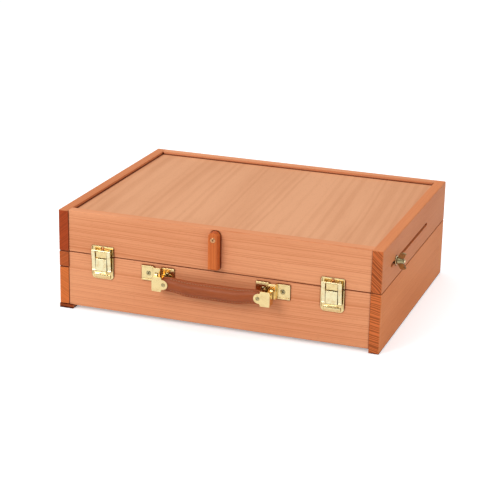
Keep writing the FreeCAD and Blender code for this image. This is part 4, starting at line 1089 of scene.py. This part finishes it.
class SKETCHBOX_OT_hinges(bpy.types.Operator):
    """Softens the butt hinges and adds their screws"""
    bl_idname = "sketchbox.hinges"
    bl_label = "Butt Hinges"

    def execute(self, context):
        metal = context.scene.sketch_metal
        finish = brass("brass_hinge", metal.brass, metal.worn)
        for node in ("hinge_base_leaves", "hinge_lid_leaves", "hinge_pins"):
            softened(node, metal.sheet_round * HINGE_ROUND, finish)
        for part in ("base", "lid"):
            node, name = "hinge_%s_screws" % part, "hinge_%s_cross_screws" % part
            set_of_screws(node, name, BACK, HINGE_SCREW, finish)
        return {"FINISHED"}


# The knob from its foot on the drawer's front to its crown: shares of its radius and its reach.
KNOB = (
    (0.80, 0.0), (0.80, 0.07), (0.74, 0.11), (0.60, 0.135), (0.53, 0.19), (0.50, 0.28), (0.50, 0.38),
    (0.56, 0.46), (0.72, 0.56), (0.90, 0.64), (0.98, 0.70), (1.00, 0.76), (0.97, 0.83), (0.88, 0.90),
    (0.84, 0.905), (0.82, 0.93), (0.66, 0.975), (0.40, 0.995), (0.12, 1.0),
)
# The peg that holds it in the drawer's front, as a share of its radius.
KNOB_PEG = 0.26


class SKETCHBOX_OT_knob(bpy.types.Operator):
    """Turns the drawer's knob"""
    bl_idname = "sketchbox.knob"
    bl_label = "Drawer Knob"

    def execute(self, context):
        metal = context.scene.sketch_metal
        low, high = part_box("drawer_knob")
        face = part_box("drawer_front")[0].x
        middle = (low + high) / 2
        rim = (high.z - low.z) / 2
        reach = face - low.x
        profile = [(rim * KNOB_PEG, face - high.x), (rim * KNOB_PEG, 0.0)]
        profile += [(rim * radius, reach * height) for radius, height in KNOB]
        start = Vector((face, middle.y, middle.z))
        knob = turned("turned_knob", profile, start, -X_AXIS, segments=48)
        dress(knob, brass("brass_knob", metal.brass, metal.worn))
        stands_for(smooth(knob, angle=40), "drawer_knob")
        return {"FINISHED"}


class SKETCHBOX_PT_panel(bpy.types.Panel):
    """Lists the pieces and their settings in the 3D view's sidebar"""
    bl_idname = "SKETCHBOX_PT_panel"
    bl_label = "Sketch Box"
    bl_space_type = "VIEW_3D"
    bl_region_type = "UI"
    bl_category = "Sketch Box"

    def draw(self, context):
        layout = self.layout
        for operator in OPERATORS:
            layout.operator(operator.bl_idname)
        for name in GROUPS:
            column = layout.column()
            settings = getattr(context.scene, name)
            for key in settings.bl_rna.properties.keys():
                if key not in ("rna_type", "name"):
                    column.prop(settings, key)


OPERATORS = (
    SKETCHBOX_OT_stage,
    SKETCHBOX_OT_boards,
    SKETCHBOX_OT_mast,
    SKETCHBOX_OT_grip,
    SKETCHBOX_OT_handle_fittings,
    SKETCHBOX_OT_catches,
    SKETCHBOX_OT_stays,
    SKETCHBOX_OT_hinges,
    SKETCHBOX_OT_knob,
)
GROUPS = {
    "sketch_wood": SKETCHBOX_PG_wood,
    "sketch_metal": SKETCHBOX_PG_metal,
    "sketch_grip": SKETCHBOX_PG_grip,
    "sketch_stage": SKETCHBOX_PG_stage,
}


def register():
    for group in GROUPS.values():
        bpy.utils.register_class(group)
    for operator in OPERATORS:
        bpy.utils.register_class(operator)
    bpy.utils.register_class(SKETCHBOX_PT_panel)
    for name, group in GROUPS.items():
        setattr(bpy.types.Scene, name, PointerProperty(type=group))


def unregister():
    for name in GROUPS:
        delattr(bpy.types.Scene, name)
    bpy.utils.unregister_class(SKETCHBOX_PT_panel)
    for operator in reversed(OPERATORS):
        bpy.utils.unregister_class(operator)
    for group in reversed(list(GROUPS.values())):
        bpy.utils.unregister_class(group)


def main():
    register()
    bpy.ops.object.select_all(action="DESELECT")
    for operator in OPERATORS:
        group, name = operator.bl_idname.split(".")
        getattr(getattr(bpy.ops, group), name)()


if __name__ == "__main__":
    main()
